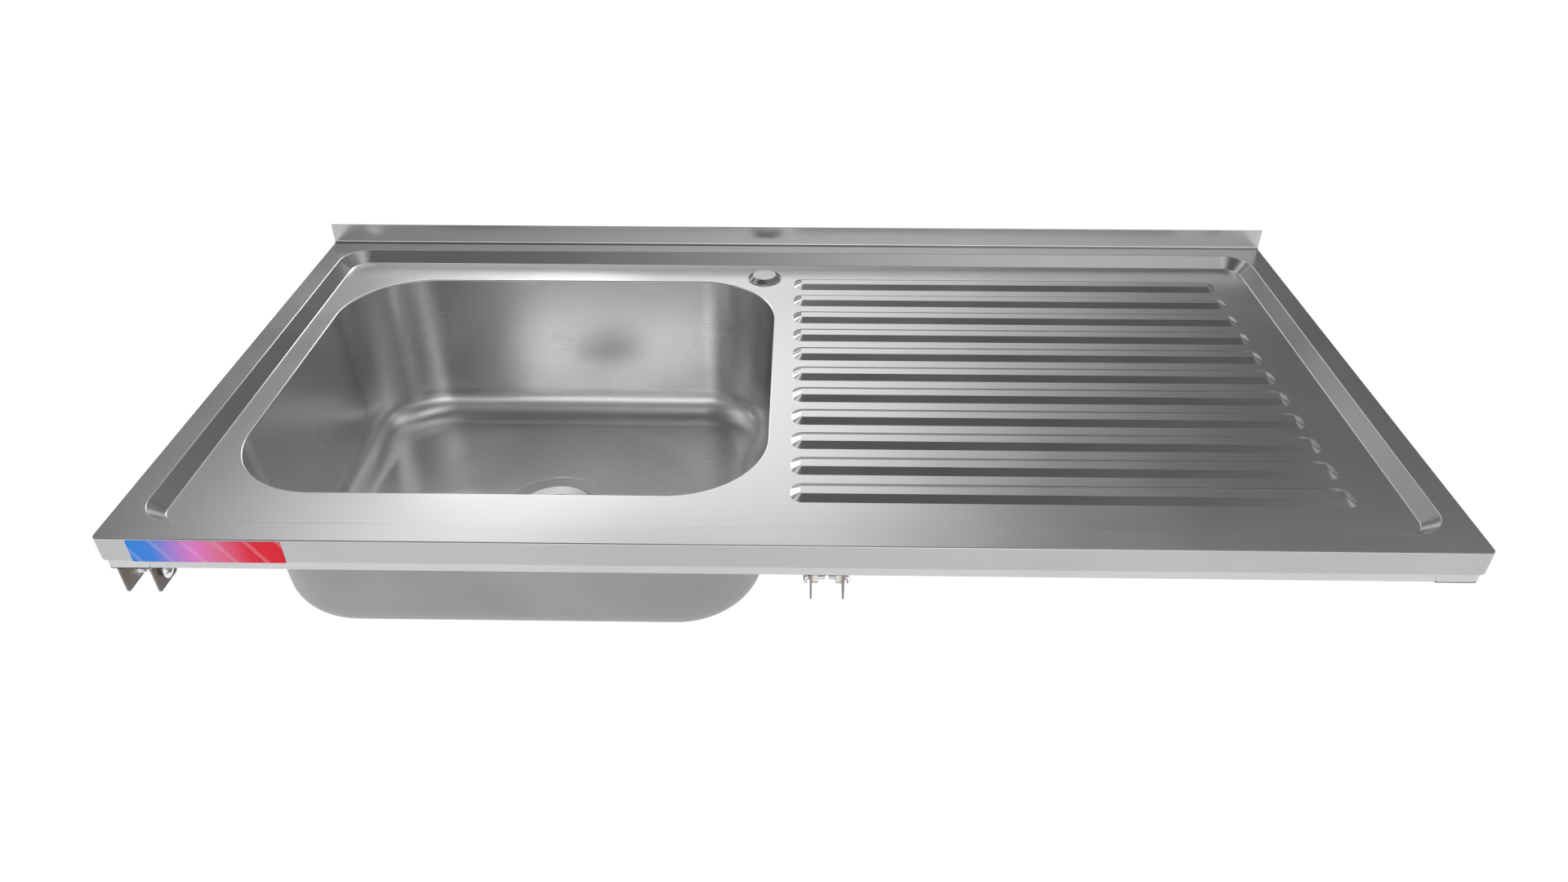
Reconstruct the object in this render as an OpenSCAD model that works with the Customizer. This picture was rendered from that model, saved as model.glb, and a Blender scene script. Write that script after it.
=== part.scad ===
// Stainless steel kitchen sink top: a pressed worktop with one welded bowl and a ribbed drainboard,
// on a folded steel frame with screw brackets for square tube legs.
// Millimetres, +X to the right, +Y to the wall, +Z up.
// The origin is on the underside of the front rail, in the middle of its length and of its width.

/* [Worktop] */
// Length of the worktop, left to right
top_w = 1400; // [1300:10:1600]
// Depth of the worktop, front edge to wall
top_d = 700; // [690:5:760]
// Thickness of the worktop and bowl sheet
sheet_t = 1.2; // [1:0.1:1.5]
// Height of the folded front and side aprons
apron_h = 30; // [26:0.5:34]
// Radius of the front corners in plan
corner_r = 7; // [5:0.5:12]
// Outer radius of the bend along the apron's lower edge
hem_r = 2.5; // [2:0.1:4]
// Height of the splashback above the rim
splash_h = 28.8; // [15:0.2:60]

/* [Recess] */
// Width of the raised rim at the front and the sides
rim_w = 28.5; // [20:0.5:32]
// Width of the raised rim in front of the splashback
rim_back_w = 27; // [20:0.5:32]
// Depth of the recessed deck below the rim
recess_h = 14; // [10:0.5:18]
// Run of the sloping wall round the recess
slope_run = 15; // [12:0.5:18]
// Corner radius at the foot of the sloping wall
recess_r = 23; // [15:1:35]

/* [Bowl] */
// Length of the bowl's mouth, left to right
bowl_w = 602; // [560:2:610]
// Distance from the foot of the recess to the bowl's mouth, front and back
bowl_margin = 54.65; // [52:0.05:66]
// Depth of the bowl, from the recessed deck to the foot of its walls
bowl_h = 220.5; // [180:0.5:260]
// Distance from the worktop's left edge to the bowl's mouth
bowl_left = 71.8; // [66:0.2:80]
// Corner radius of the mouth
bowl_r = 110; // [104:1:130]
// How far each wall leans in from mouth to floor
bowl_draft = 9; // [4:0.5:12]
// Radius between the walls and the floor
bowl_fillet = 44; // [30:1:46]
// Width of the welding lip under the deck
bowl_lip = 10; // [6:0.5:12]
// Fall of the floor towards the waste
floor_fall = 5.5; // [3:0.5:8]

/* [Drainboard] */
// Number of pressed ribs
rib_n = 11; // [5:1:11]
// Distance from the foot of the recess to the first and the last rib
rib_margin = 44.15; // [40:0.05:60]
// Width of a rib at its foot
rib_w = 34; // [30:0.5:38]
// Height of a rib
rib_h = 4.5; // [3:0.5:6]
// Run of a rib's sloping sides
rib_slope = 10.6; // [8:0.2:12]
// Corner radius of a rib at its foot
rib_r = 13; // [12.6:0.2:14]
// Distance from the bowl's mouth to the ribs
rib_gap = 27.4; // [22:0.2:40]
// Distance from the ribs to the worktop's right edge
rib_end = 94; // [80:1:140]

/* [Tap hole] */
// Diameter of the tap hole
tap_hole_d = 35; // [33:0.5:36]
// Distance from the wall to the centre of the tap hole
tap_back = 85; // [83:1:90]
// How far the tap hole lies left of the bowl's right edge
tap_in = 16.1; // [6:0.1:20]
// Diameter of the plug's chrome cap
plug_d = 48.6; // [46:0.2:52]
// Diameter of the cap's flat top
plug_top_d = 33; // [28:0.5:36]
// Height of the cap
plug_h = 6; // [4.5:0.5:9]
// Wall of the cap
plug_t = 1; // [0.8:0.1:1.2]

/* [Waste] */
// Radius of the pressed ring in the bowl's floor
ring_r = 76.5; // [72:0.5:90]
// Depth of the step at the pressed ring
ring_step = 0.8; // [0.5:0.1:1]
// Radius of the strainer flange
flange_r = 57; // [55:0.5:60]
// Radius of the hole in the bowl's floor
waste_hole_r = 45; // [44.6:0.1:45.4]
// Radius of the strainer body in the hole
cup_r = 44; // [43.4:0.1:44.2]
// Depth of the strainer body below the flange seat
cup_h = 42; // [40:1:50]
// Wall of the strainer body
cup_t = 1; // [0.8:0.1:1.2]
// Radius of the threaded outlet under the strainer body
stub_r = 23.9; // [23:0.1:25]
// Length of the threaded outlet
stub_l = 18; // [15:1:24]
// Radius of the tailpiece
tail_r = 20; // [19:0.1:20.4]
// Length of the tailpiece below its flange
tail_l = 50; // [40:5:90]

/* [Frame] */
// Width of the folded rails
rail_w = 42; // [40:0.5:44]
// Thickness of the rails
rail_t = 1.5; // [1.2:0.1:2]
// How far the frame stands in from the apron
rail_inset = 4.5; // [4.5:0.1:6]
// How far the frame hangs below the apron
frame_drop = 13.5; // [10:0.5:20]
// Distance from the bowl's mouth to the middle rail
mid_rail_gap = 45.6; // [35:0.2:60]
// Width of the flat bottom of a drainboard stiffener
stiff_w = 30; // [20:1:40]
// Height of a drainboard stiffener
stiff_h = 20; // [12:1:24]

/* [Leg brackets] */
// Width of a bracket over its plates, to fit inside a square tube of 40 by 40 by 1.5 mm
bracket_w = 35.4; // [34:0.1:36]
// Depth of a bracket, front to back
bracket_d = 36.6; // [34:0.1:36.8]
// Length of a bracket below the frame
bracket_h = 36.5; // [32:0.5:45]
// Thickness of a bracket
bracket_t = 2; // [1.5:0.1:2.5]
// Distance from the frame's underside to the screws
screw_drop = 19.2; // [15:0.2:22]
// Diameter of the screws' thread
screw_d = 8; // [6:0.5:8]
// Length of a screw under its head
screw_l = 19.4; // [18:0.1:19.8]
// Diameter of a screw's head
head_d = 19; // [17:0.5:20]
// Height of a screw's head
head_h = 3.4; // [2.8:0.1:4]
// Gap between the bracket and a screw's head
head_gap = 3.7; // [3.4:0.1:5]

/* [Label] */
// Length of the label
label_w = 156.8; // [120:0.2:200]
// Height of the label
label_h = 27.8; // [20:0.2:28]
// Thickness of the label
label_t = 0.4; // [0.3:0.1:1]
// Distance from the worktop's left edge to the label
label_left = 34.6; // [20:0.2:60]

/* [Hidden] */
$fn = 96;
steel = "#b9bbbe";
satin = "#a6a8ab";
zinc = "#8f9296";
chrome = "#d6d8db";
rubber = "#2a2a2c";

// How far a cutting shape runs past what it cuts
over = 2;
// Gap between a moving piece and its seat
seat_gap = 0.3;
// Radial gap of a running fit
run_gap = 0.1;

// Levels and edges that the pieces share
rim_z = apron_h + frame_drop;
deck_z = rim_z - recess_h;
under_z = deck_z - sheet_t;
edge_x = top_w / 2;
front_y = -(rail_inset + rail_w / 2);
wall_y = front_y + top_d;

// Foot of the recess: its size and its middle
recess_foot = [
    top_w - 2 * (rim_w + slope_run),
    top_d - sheet_t - rim_w - rim_back_w - 2 * slope_run
];
recess_y = front_y + rim_w + slope_run + recess_foot.y / 2;

// The bowl's middle and depth, and the drainboard to its right
bowl_x = -edge_x + bowl_left + bowl_w / 2;
bowl_right = bowl_x + bowl_w / 2;
bowl_d = recess_foot.y - 2 * bowl_margin;
rib_left = bowl_right + rib_gap;
rib_l = edge_x - rib_end - rib_left;
rib_pitch = (recess_foot.y - 2 * rib_margin - rib_w) / (rib_n - 1);

// Tap hole and its plug
tap_x = bowl_right - tap_in;
tap_y = wall_y - tap_back;
plug_rim_w = 1;
plug_rim_h = 1.2;
clip_wall = 1.5;
clip_gap = 0.6;
clip_reach = 11;
clip_barb = 0.3;
clip_slot = 5;
clip_disc_t = 1.4;
seal_t = 0.8;
seal_w = 4;
seal_play = 0.5;

// Floor of the bowl and the strainer's seat in it
floor_z = deck_z - bowl_h;
fall_r = bowl_d / 2 - bowl_draft - bowl_fillet;
ring_z = floor_z - floor_fall;
pan_z = ring_z - ring_step;
seat_play = 0.5;
seat_r = flange_r + seat_play;
land_w = 2;
land_r = waste_hole_r + land_w;
seat_step = 2.2;
seat_fall = 2.6;
land_z = pan_z - seat_step - seat_fall;
gasket_t = 1.2;
gasket_in = 0.5;

// Strainer body, from its seat down
cup_floor_z = land_z - cup_h;
stub_wall = 2.5;
stub_z = cup_floor_z - stub_l;
under_gasket_t = 2.5;
under_z2 = land_z - sheet_t - under_gasket_t;
slip_t = 1;
slip_r = 57;
lock_h = 12;
lock_r = 54;
lug_n = 8;
lug_w = 12;
lug_l = 5;

// Tailpiece and the nut that holds it
tail_wall = 1.8;
tail_gasket_t = 2;
tail_flange_t = 2;
tail_flange_w = 3.5;
tail_nut_r = 30;
tail_nut_h = 20;
tail_lip_t = 3;
tail_neck = 0.4;
flute_n = 12;
flute_r = 3;
tail_flange_z = stub_z - tail_gasket_t;

// Basket and stopper
basket_t = 0.8;
basket_lip_r = 46;
basket_r = 41.6;
basket_foot_r = 38;
basket_h = 27;
post_r = 4;
drain_hole_r = 2;
hole_rings = 3;
hole_ring_r = 12;
hole_ring_step = 9;
hole_ring_n = 10;
holder_r = 18;
holder_t = 1.5;
stop_seal_t = 3;
stop_seal_r = 24.5;
knob_r = 11;
knob_h = 8;
knob_neck_r = 6;

// Frame
side_in_x = edge_x - rail_inset - rail_w;
rail_outer_h = rim_z - sheet_t;
front_in_y = front_y + rail_inset + rail_w;
rear_in_y = wall_y - rail_inset - rail_w;
mid_rail_x = bowl_right + mid_rail_gap;
stiff_t = 1.2;
stiff_foot = 14;
stiff_shares = [1 / 3, 2 / 3];
bay_w = side_in_x - mid_rail_x - rail_w;

// Leg brackets: where each stands, under the middle of the rails
left_leg_x = -(edge_x - rail_inset - rail_w / 2);
mid_leg_x = mid_rail_x + rail_w / 2;
rear_leg_y = top_d - 2 * (rail_inset + rail_w / 2);
left_front = [left_leg_x, 0];
left_rear = [left_leg_x, rear_leg_y];
mid_front = [mid_leg_x, 0];
mid_rear = [mid_leg_x, rear_leg_y];
bracket_corner_r = 3.5;
bracket_hole_play = 1;
nut_af = 13;
nut_h = 6.5;
head_face = bracket_w / 2 + head_gap;
head_rim = 0.8;
slot_w = 1.6;
slot_depth = 1.5;
tip_bevel = 0.8;
washer_t = 0.9;
washer_r = 7.5;
washer_play = 0.2;

// Label
label_drop = 1.8;
label_r = 1.5;

// Rectangle with round corners, about the origin
module round_rect(size, r) {
    square([size.x - 2 * r, size.y], center = true);
    square([size.x, size.y - 2 * r], center = true);
    for (sx = [-1, 1], sy = [-1, 1])
        translate([sx * (size.x / 2 - r), sy * (size.y / 2 - r)]) circle(r);
}

// Extrudes a section drawn in distance and height along X
module along_x(length) {
    rotate([90, 0, 90]) linear_extrude(length, center = true) children();
}

// Extrudes a section drawn in distance and height along Y
module along_y(length) {
    rotate([90, 0, 0]) linear_extrude(length, center = true) children();
}

// Takes a section, drawn outwards from the axis of a corner, once round a rectangle.
// The corners' axes stand cx and cy from its middle.
module around(cx, cy) {
    for (turn = [0, 180])
        rotate([0, 0, turn]) {
            translate([cx, cy, 0]) rotate_extrude(angle = 90) children();
            translate([-cx, cy, 0]) rotate([0, 0, 90]) rotate_extrude(angle = 90) children();
            translate([0, cy, 0]) along_x(2 * cx) children();
            translate([cx, 0, 0]) along_y(2 * cy) children();
        }
}

// Outline of the worktop, round at its front corners
module top_outline() {
    translate([-edge_x, front_y + corner_r]) square([top_w, top_d - corner_r]);
    translate([-edge_x + corner_r, front_y]) square([top_w - 2 * corner_r, top_d]);
    for (side = [-1, 1])
        translate([side * (edge_x - corner_r), front_y + corner_r]) circle(corner_r);
}

// Section of the apron and its turned-in lip: distance in from its face, and height from the rim
module apron_section() {
    flat = apron_h - hem_r;
    translate([0, -flat]) square([sheet_t, flat]);
    translate([hem_r, -apron_h]) square([rail_inset - seat_gap - hem_r, sheet_t]);
    translate([hem_r, -flat]) intersection() {
        difference() {
            circle(hem_r);
            circle(hem_r - sheet_t);
        }
        translate([-hem_r, -hem_r]) square([hem_r, hem_r]);
    }
}

module apron_side() {
    translate([-edge_x, (front_y + corner_r + wall_y) / 2, rim_z])
        along_y(top_d - corner_r) apron_section();
    translate([-edge_x + corner_r, front_y + corner_r, rim_z]) rotate([0, 0, 180])
        rotate_extrude(angle = 90) translate([corner_r, 0]) mirror([1, 0]) apron_section();
}

// Sheet that slopes away from a round-cornered foot at z = 0, by run over the height h
module sloping_wall(foot, r, run, h) {
    around(foot.x / 2 - r, foot.y / 2 - r)
        polygon([[r, 0], [r + run, h], [r + run, h - sheet_t], [r, -sheet_t]]);
}

module at_ribs() {
    for (i = [0 : rib_n - 1])
        translate([rib_left + rib_l / 2, recess_y + (i - (rib_n - 1) / 2) * rib_pitch]) children();
}

// Pressed worktop: rim, recess, ribs, aprons and splashback from one sheet
module worktop_sheet() {
    color(steel) {
        translate([0, 0, rim_z - sheet_t]) linear_extrude(sheet_t) difference() {
            top_outline();
            translate([0, recess_y])
                round_rect([recess_foot.x + 2 * slope_run, recess_foot.y + 2 * slope_run], recess_r + slope_run);
        }
        translate([0, recess_y, deck_z]) sloping_wall(recess_foot, recess_r, slope_run, recess_h);
        translate([0, 0, under_z]) linear_extrude(sheet_t) difference() {
            translate([0, recess_y]) round_rect(recess_foot, recess_r);
            translate([bowl_x, recess_y]) round_rect([bowl_w, bowl_d], bowl_r);
            translate([tap_x, tap_y]) circle(d = tap_hole_d);
            at_ribs() round_rect([rib_l, rib_w], rib_r);
        }
        translate([0, 0, deck_z]) at_ribs() {
            sloping_wall([rib_l, rib_w], rib_r, -rib_slope, rib_h);
            translate([0, 0, rib_h - sheet_t]) linear_extrude(sheet_t)
                round_rect([rib_l - 2 * rib_slope, rib_w - 2 * rib_slope], rib_r - rib_slope);
        }
        translate([0, front_y, rim_z]) along_x(top_w - 2 * corner_r) apron_section();
        apron_side();
        mirror([1, 0, 0]) apron_side();
        translate([-edge_x, wall_y - sheet_t, rim_z - sheet_t])
            cube([top_w, sheet_t, splash_h + sheet_t]);
    }
}

// Inside of the bowl in section, from the axis of a corner outwards, grown by a wall:
// floor, round foot and leaning wall
module tub_area(grow, above) {
    lean = atan(bowl_draft / (under_z - floor_z));
    foot_r = bowl_fillet + grow;
    middle = bowl_r - bowl_draft + bowl_fillet * tan(lean) - bowl_fillet / cos(lean);
    polygon([
        [0, floor_z - grow],
        [middle, floor_z - grow],
        [middle + foot_r * cos(lean), floor_z + bowl_fillet - foot_r * sin(lean)],
        [bowl_r + grow / cos(lean) + above * tan(lean), under_z + above],
        [0, under_z + above]
    ]);
    translate([middle, floor_z + bowl_fillet]) circle(foot_r);
}

// The bowl's sheet in section
module tub_section() {
    difference() {
        tub_area(sheet_t, 0);
        tub_area(0, over);
    }
}

// The bowl's sheet: four corners, four sides and the floor between them
module tub() {
    cx = bowl_w / 2 - bowl_r;
    cy = bowl_d / 2 - bowl_r;
    translate([-cx, -cy, floor_z - sheet_t]) cube([2 * cx, 2 * cy, sheet_t]);
    around(cx, cy) tub_section();
}

// Height of the strainer's conical seat at a distance from the waste's axis
function seat_z(r) = pan_z - seat_step - seat_fall * (seat_r - r) / (seat_r - land_r);

module at_waste() {
    translate([bowl_x, recess_y, 0]) children();
}

// Deep-drawn bowl with its welding lip, falling floor and strainer seat
module bowl() {
    color(satin) at_waste() difference() {
        union() {
            tub();
            translate([0, 0, under_z - sheet_t]) linear_extrude(sheet_t) difference() {
                round_rect([bowl_w + 2 * bowl_lip, bowl_d + 2 * bowl_lip], bowl_r + bowl_lip);
                round_rect([bowl_w + sheet_t, bowl_d + sheet_t], bowl_r + sheet_t / 2);
            }
            rotate_extrude() polygon([
                [0, floor_z - sheet_t / 2],
                [fall_r, floor_z - sheet_t / 2],
                [fall_r, floor_z - sheet_t],
                [ring_r, ring_z - sheet_t],
                [ring_r, pan_z - sheet_t],
                [seat_r + sheet_t, pan_z - sheet_t],
                [seat_r + sheet_t, seat_z(seat_r) - sheet_t],
                [seat_r, seat_z(seat_r) - sheet_t],
                [land_r, land_z - sheet_t],
                [0, land_z - sheet_t]
            ]);
        }
        rotate_extrude() polygon([
            [0, floor_z + over],
            [fall_r, floor_z + over],
            [fall_r, floor_z],
            [ring_r, ring_z],
            [ring_r, pan_z],
            [seat_r, pan_z],
            [seat_r, seat_z(seat_r)],
            [land_r, land_z],
            [waste_hole_r, land_z],
            [waste_hole_r, land_z - sheet_t - over],
            [0, land_z - sheet_t - over]
        ]);
    }
}

// Section of an edge rail: a trough with a tall outer wall under the rim
module rail_section(outer_h) {
    square([rail_w, rail_t]);
    square([rail_t, outer_h]);
    translate([rail_w - rail_t, 0]) square([rail_t, under_z]);
}

module front_rail() {
    color(satin) translate([0, front_y + rail_inset, 0])
        along_x(2 * side_in_x) rail_section(rail_outer_h);
}

module rear_rail() {
    color(satin) translate([0, wall_y - rail_inset, 0])
        along_x(2 * side_in_x) mirror([1, 0]) rail_section(rail_outer_h);
}

// Side rail on the left, closed at both ends
module left_rail() {
    color(satin) translate([-edge_x + rail_inset, 0, 0]) {
        translate([0, (front_y + wall_y) / 2, 0])
            along_y(top_d - 2 * rail_inset) rail_section(rail_outer_h);
        for (y = [front_y + rail_inset, wall_y - rail_inset - rail_t])
            translate([0, y, 0]) cube([rail_w, rail_t, rail_outer_h]);
    }
}

module right_rail() {
    mirror([1, 0, 0]) left_rail();
}

module mid_rail() {
    color(satin) translate([mid_rail_x, (front_in_y + rear_in_y) / 2, 0])
        along_y(rear_in_y - front_in_y) rail_section(under_z);
}

// Hat section under the ribs, at a share of the bay between the middle and the right rail
module drainboard_stiffener(bay_share) {
    color(zinc)
        translate([mid_rail_x + rail_w + bay_w * bay_share, (front_in_y + rear_in_y) / 2, under_z])
            along_y(rear_in_y - front_in_y) {
                translate([-stiff_w / 2, -stiff_h]) square([stiff_w, stiff_t]);
                for (side = [-1, 1]) {
                    translate([side * (stiff_w - stiff_t) / 2, -stiff_h / 2])
                        square([stiff_t, stiff_h], center = true);
                    translate([side * (stiff_w + stiff_foot) / 2 - side * stiff_t / 2, -stiff_t / 2])
                        square([stiff_foot + stiff_t, stiff_t], center = true);
                }
            }
}

// One plate of a leg bracket: depth and height, round at its lower corners
module bracket_plate() {
    r = bracket_corner_r;
    difference() {
        union() {
            translate([-bracket_d / 2, r - bracket_h]) square([bracket_d, bracket_h - r]);
            translate([r - bracket_d / 2, -bracket_h]) square([bracket_d - 2 * r, bracket_h]);
            for (side = [-1, 1])
                translate([side * (bracket_d / 2 - r), r - bracket_h]) circle(r);
        }
        translate([0, -screw_drop]) circle(d = screw_d + bracket_hole_play);
    }
}

// Folded bracket that a square leg slides over
module leg_bracket(leg) {
    color(zinc) translate([leg.x, leg.y, 0]) {
        translate([-bracket_w / 2, -bracket_d / 2, -bracket_t])
            cube([bracket_w, bracket_d, bracket_t]);
        for (side = [-1, 1])
            translate([side * (bracket_w - bracket_t) / 2, 0, 0]) along_x(bracket_t) bracket_plate();
    }
}

// Turns a shape drawn along +Z to point out of one side of a bracket
module out_of_bracket(leg, side) {
    translate([leg.x, leg.y, -screw_drop]) rotate([0, side * 90, 0]) children();
}

// Nuts welded inside the brackets' plates
module weld_nuts() {
    color(zinc) for (leg = [left_front, left_rear, mid_front, mid_rear], side = [-1, 1])
        out_of_bracket(leg, side) translate([0, 0, bracket_w / 2 - bracket_t - nut_h])
            difference() {
                cylinder(h = nut_h, d = nut_af / cos(30), $fn = 6);
                translate([0, 0, -over]) cylinder(h = nut_h + 2 * over, d = screw_d + 2 * run_gap);
            }
}

// Clamp screw with a slotted, domed head
module leg_screw(leg, side) {
    dome_h = head_h - head_rim;
    dome_r = (head_d * head_d / 4 + dome_h * dome_h) / (2 * dome_h);
    color(chrome) out_of_bracket(leg, side) translate([0, 0, head_face]) difference() {
        union() {
            translate([0, 0, tip_bevel - screw_l]) cylinder(h = screw_l - tip_bevel, d = screw_d);
            translate([0, 0, -screw_l])
                cylinder(h = tip_bevel, d1 = screw_d - 2 * tip_bevel, d2 = screw_d);
            cylinder(h = head_rim, d = head_d);
            rotate_extrude() intersection() {
                translate([0, head_h - dome_r]) circle(dome_r);
                translate([0, head_rim]) square([head_d / 2, dome_h]);
            }
        }
        translate([-slot_w / 2, -head_d / 2 - over, head_h - slot_depth])
            cube([slot_w, head_d + 2 * over, slot_depth + over]);
    }
}

// Lock washer under a screw's head
module lock_washer(leg, side) {
    color(zinc) out_of_bracket(leg, side) translate([0, 0, head_face - washer_t]) difference() {
        cylinder(h = washer_t, r = washer_r);
        translate([0, 0, -over]) cylinder(h = washer_t + 2 * over, r = screw_d / 2 + washer_play);
    }
}

module at_tap() {
    translate([tap_x, tap_y, deck_z]) children();
}

// Chrome cap: a rim, a conical flank and a flat top, hollow below
module tap_plug_cap() {
    r = plug_d / 2;
    top_r = plug_top_d / 2;
    inner_r = r - plug_rim_w - plug_t;
    color(chrome) at_tap() rotate_extrude() polygon([
        [inner_r, 0],
        [r, 0],
        [r, plug_rim_h],
        [r - plug_rim_w, plug_rim_h],
        [top_r, plug_h],
        [0, plug_h],
        [0, plug_h - plug_t],
        [top_r - plug_t / 2, plug_h - plug_t],
        [inner_r, plug_rim_h / 2]
    ]);
}

// Springy nylon clip that grips the tap hole
module tap_plug_clip() {
    r = tap_hole_d / 2 - clip_gap;
    barb_h = clip_reach / 4;
    disc_r = min(r, plug_top_d / 2 - plug_t);
    color("#e8e6df") at_tap() difference() {
        union() {
            translate([0, 0, plug_h - plug_t - clip_disc_t]) cylinder(h = clip_disc_t, r = disc_r);
            difference() {
                union() {
                    translate([0, 0, -sheet_t - clip_reach])
                        cylinder(h = clip_reach + sheet_t + plug_h - plug_t - clip_disc_t, r = disc_r);
                    translate([0, 0, -sheet_t - clip_reach])
                        cylinder(h = barb_h, r1 = disc_r - clip_barb, r2 = r + clip_barb);
                    translate([0, 0, -sheet_t - clip_reach + barb_h])
                        cylinder(h = barb_h, r1 = r + clip_barb, r2 = disc_r);
                }
                translate([0, 0, -sheet_t - clip_reach - over])
                    cylinder(h = clip_reach + sheet_t + plug_h - plug_t - clip_disc_t + over,
                        r = disc_r - clip_wall);
            }
        }
        for (turn = [0, 90])
            rotate([0, 0, turn]) translate([0, 0, -sheet_t / 2 - clip_reach])
                cube([tap_hole_d + over, clip_slot, 2 * clip_reach], center = true);
    }
}

// Rubber ring between the cap and the deck
module tap_plug_seal() {
    r = plug_d / 2 - plug_rim_w - plug_t - seal_play;
    color(rubber) at_tap() difference() {
        cylinder(h = seal_t, r = r);
        translate([0, 0, -over]) cylinder(h = seal_t + 2 * over, r = r - seal_w);
    }
}

// Pressed flange, cup and threaded outlet of the strainer
module strainer_body() {
    cup_in = cup_r - cup_t;
    stub_in = stub_r - stub_wall;
    color(steel) at_waste() rotate_extrude() polygon([
        [flange_r, seat_z(flange_r) + gasket_t],
        [cup_r, seat_z(cup_r) + gasket_t],
        [cup_r, cup_floor_z - cup_t],
        [stub_r, cup_floor_z - cup_t],
        [stub_r, stub_z],
        [stub_in, stub_z],
        [stub_in, cup_floor_z],
        [cup_in, cup_floor_z],
        [cup_in, seat_z(cup_in) + gasket_t + cup_t],
        [flange_r, seat_z(flange_r) + gasket_t + cup_t]
    ]);
}

// Rubber ring on the seat, under the flange
module flange_gasket() {
    r0 = land_r + gasket_in;
    r1 = flange_r - gasket_in;
    color(rubber) at_waste() rotate_extrude() polygon([
        [r0, seat_z(r0)],
        [r1, seat_z(r1)],
        [r1, seat_z(r1) + gasket_t],
        [r0, seat_z(r0) + gasket_t]
    ]);
}

// Rubber ring under the bowl
module under_gasket() {
    r0 = waste_hole_r + gasket_in;
    r1 = flange_r - gasket_in;
    color(rubber) at_waste() rotate_extrude() polygon([
        [r0, under_z2],
        [r1, under_z2],
        [r1, seat_z(r1) - sheet_t],
        [land_r, land_z - sheet_t],
        [r0, land_z - sheet_t]
    ]);
}

// Fibre ring that lets the nut turn without dragging the rubber
module slip_ring() {
    color("#c9b48a") at_waste() translate([0, 0, under_z2 - slip_t]) difference() {
        cylinder(h = slip_t, r = slip_r);
        translate([0, 0, -over]) cylinder(h = slip_t + 2 * over, r = waste_hole_r);
    }
}

// Large nut with lugs that clamps the strainer to the bowl
module lock_nut() {
    color(zinc) at_waste() translate([0, 0, under_z2 - slip_t - lock_h]) difference() {
        union() {
            cylinder(h = lock_h, r = lock_r);
            for (i = [0 : lug_n - 1])
                rotate([0, 0, i * 360 / lug_n]) translate([lock_r - over, -lug_w / 2, 0])
                    cube([lug_l + over, lug_w, lock_h]);
        }
        translate([0, 0, -over]) cylinder(h = lock_h + 2 * over, r = cup_r + run_gap);
    }
}

// Fluted nut that clamps the tailpiece's flange to the outlet
module tail_nut() {
    lip_r = tail_r + seat_gap;
    foot_z = tail_flange_z - tail_flange_t - tail_lip_t;
    color(zinc) at_waste() difference() {
        rotate_extrude() polygon([
            [lip_r, foot_z],
            [tail_nut_r, foot_z],
            [tail_nut_r, foot_z + tail_nut_h],
            [stub_r + run_gap, foot_z + tail_nut_h],
            [stub_r + run_gap, foot_z + tail_lip_t],
            [lip_r, foot_z + tail_lip_t]
        ]);
        for (i = [0 : flute_n - 1])
            rotate([0, 0, i * 360 / flute_n]) translate([tail_nut_r + flute_r / 2, 0, foot_z - over])
                cylinder(h = tail_nut_h + 2 * over, r = flute_r);
    }
}

module tail_gasket() {
    color(rubber) at_waste() translate([0, 0, tail_flange_z]) difference() {
        cylinder(h = tail_gasket_t, r = tail_r + tail_flange_w);
        translate([0, 0, -over]) cylinder(h = tail_gasket_t + 2 * over, r = tail_r - tail_wall);
    }
}

// Plain outlet tube with a flange at its top and a shallow neck where the nut's lip holds it
module tailpiece() {
    neck_z = tail_flange_z - tail_flange_t - tail_lip_t;
    color(chrome) at_waste() rotate_extrude() polygon([
        [tail_r - tail_wall, tail_flange_z],
        [tail_r + tail_flange_w, tail_flange_z],
        [tail_r + tail_flange_w, tail_flange_z - tail_flange_t],
        [tail_r - tail_neck, tail_flange_z - tail_flange_t],
        [tail_r - tail_neck, neck_z],
        [tail_r, neck_z],
        [tail_r, tail_flange_z - tail_flange_t - tail_l],
        [tail_r - tail_wall, tail_flange_z - tail_flange_t - tail_l]
    ]);
}

// Height of the underside of the basket's lip, just clear of the flange
function lip_z(r) = seat_z(r) + gasket_t + cup_t + seat_gap;

// Lift-out basket: a lip on the flange, a tapering wall and a perforated floor
module basket() {
    floor_top = lip_z(basket_r) - basket_h;
    color(chrome) at_waste() difference() {
        rotate_extrude() polygon([
            [basket_lip_r, lip_z(basket_lip_r)],
            [basket_r, lip_z(basket_r)],
            [basket_foot_r, floor_top - basket_t],
            [post_r + run_gap, floor_top - basket_t],
            [post_r + run_gap, floor_top],
            [basket_foot_r - basket_t, floor_top],
            [basket_r - basket_t, lip_z(basket_r) + basket_t],
            [basket_lip_r, lip_z(basket_lip_r) + basket_t]
        ]);
        for (ring = [0 : hole_rings - 1])
            for (i = [0 : hole_ring_n + ring * hole_ring_n / 2 - 1])
                rotate([0, 0, i * 360 / (hole_ring_n + ring * hole_ring_n / 2)])
                    translate([hole_ring_r + ring * hole_ring_step, 0, floor_top - basket_t - over])
                        cylinder(h = basket_t + 2 * over, r = drain_hole_r);
    }
}

// Post through the basket's floor, with the plate that carries the seal
module stopper_post() {
    plate_z = cup_floor_z + seat_gap + stop_seal_t;
    color(chrome) at_waste() {
        translate([0, 0, plate_z]) cylinder(h = holder_t, r = holder_r);
        translate([0, 0, plate_z]) cylinder(h = pan_z - seat_step - knob_h - plate_z, r = post_r);
    }
}

// Rubber disc that closes the outlet
module stopper_seal() {
    color(rubber) at_waste() translate([0, 0, cup_floor_z + seat_gap])
        cylinder(h = stop_seal_t, r = stop_seal_r);
}

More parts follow.
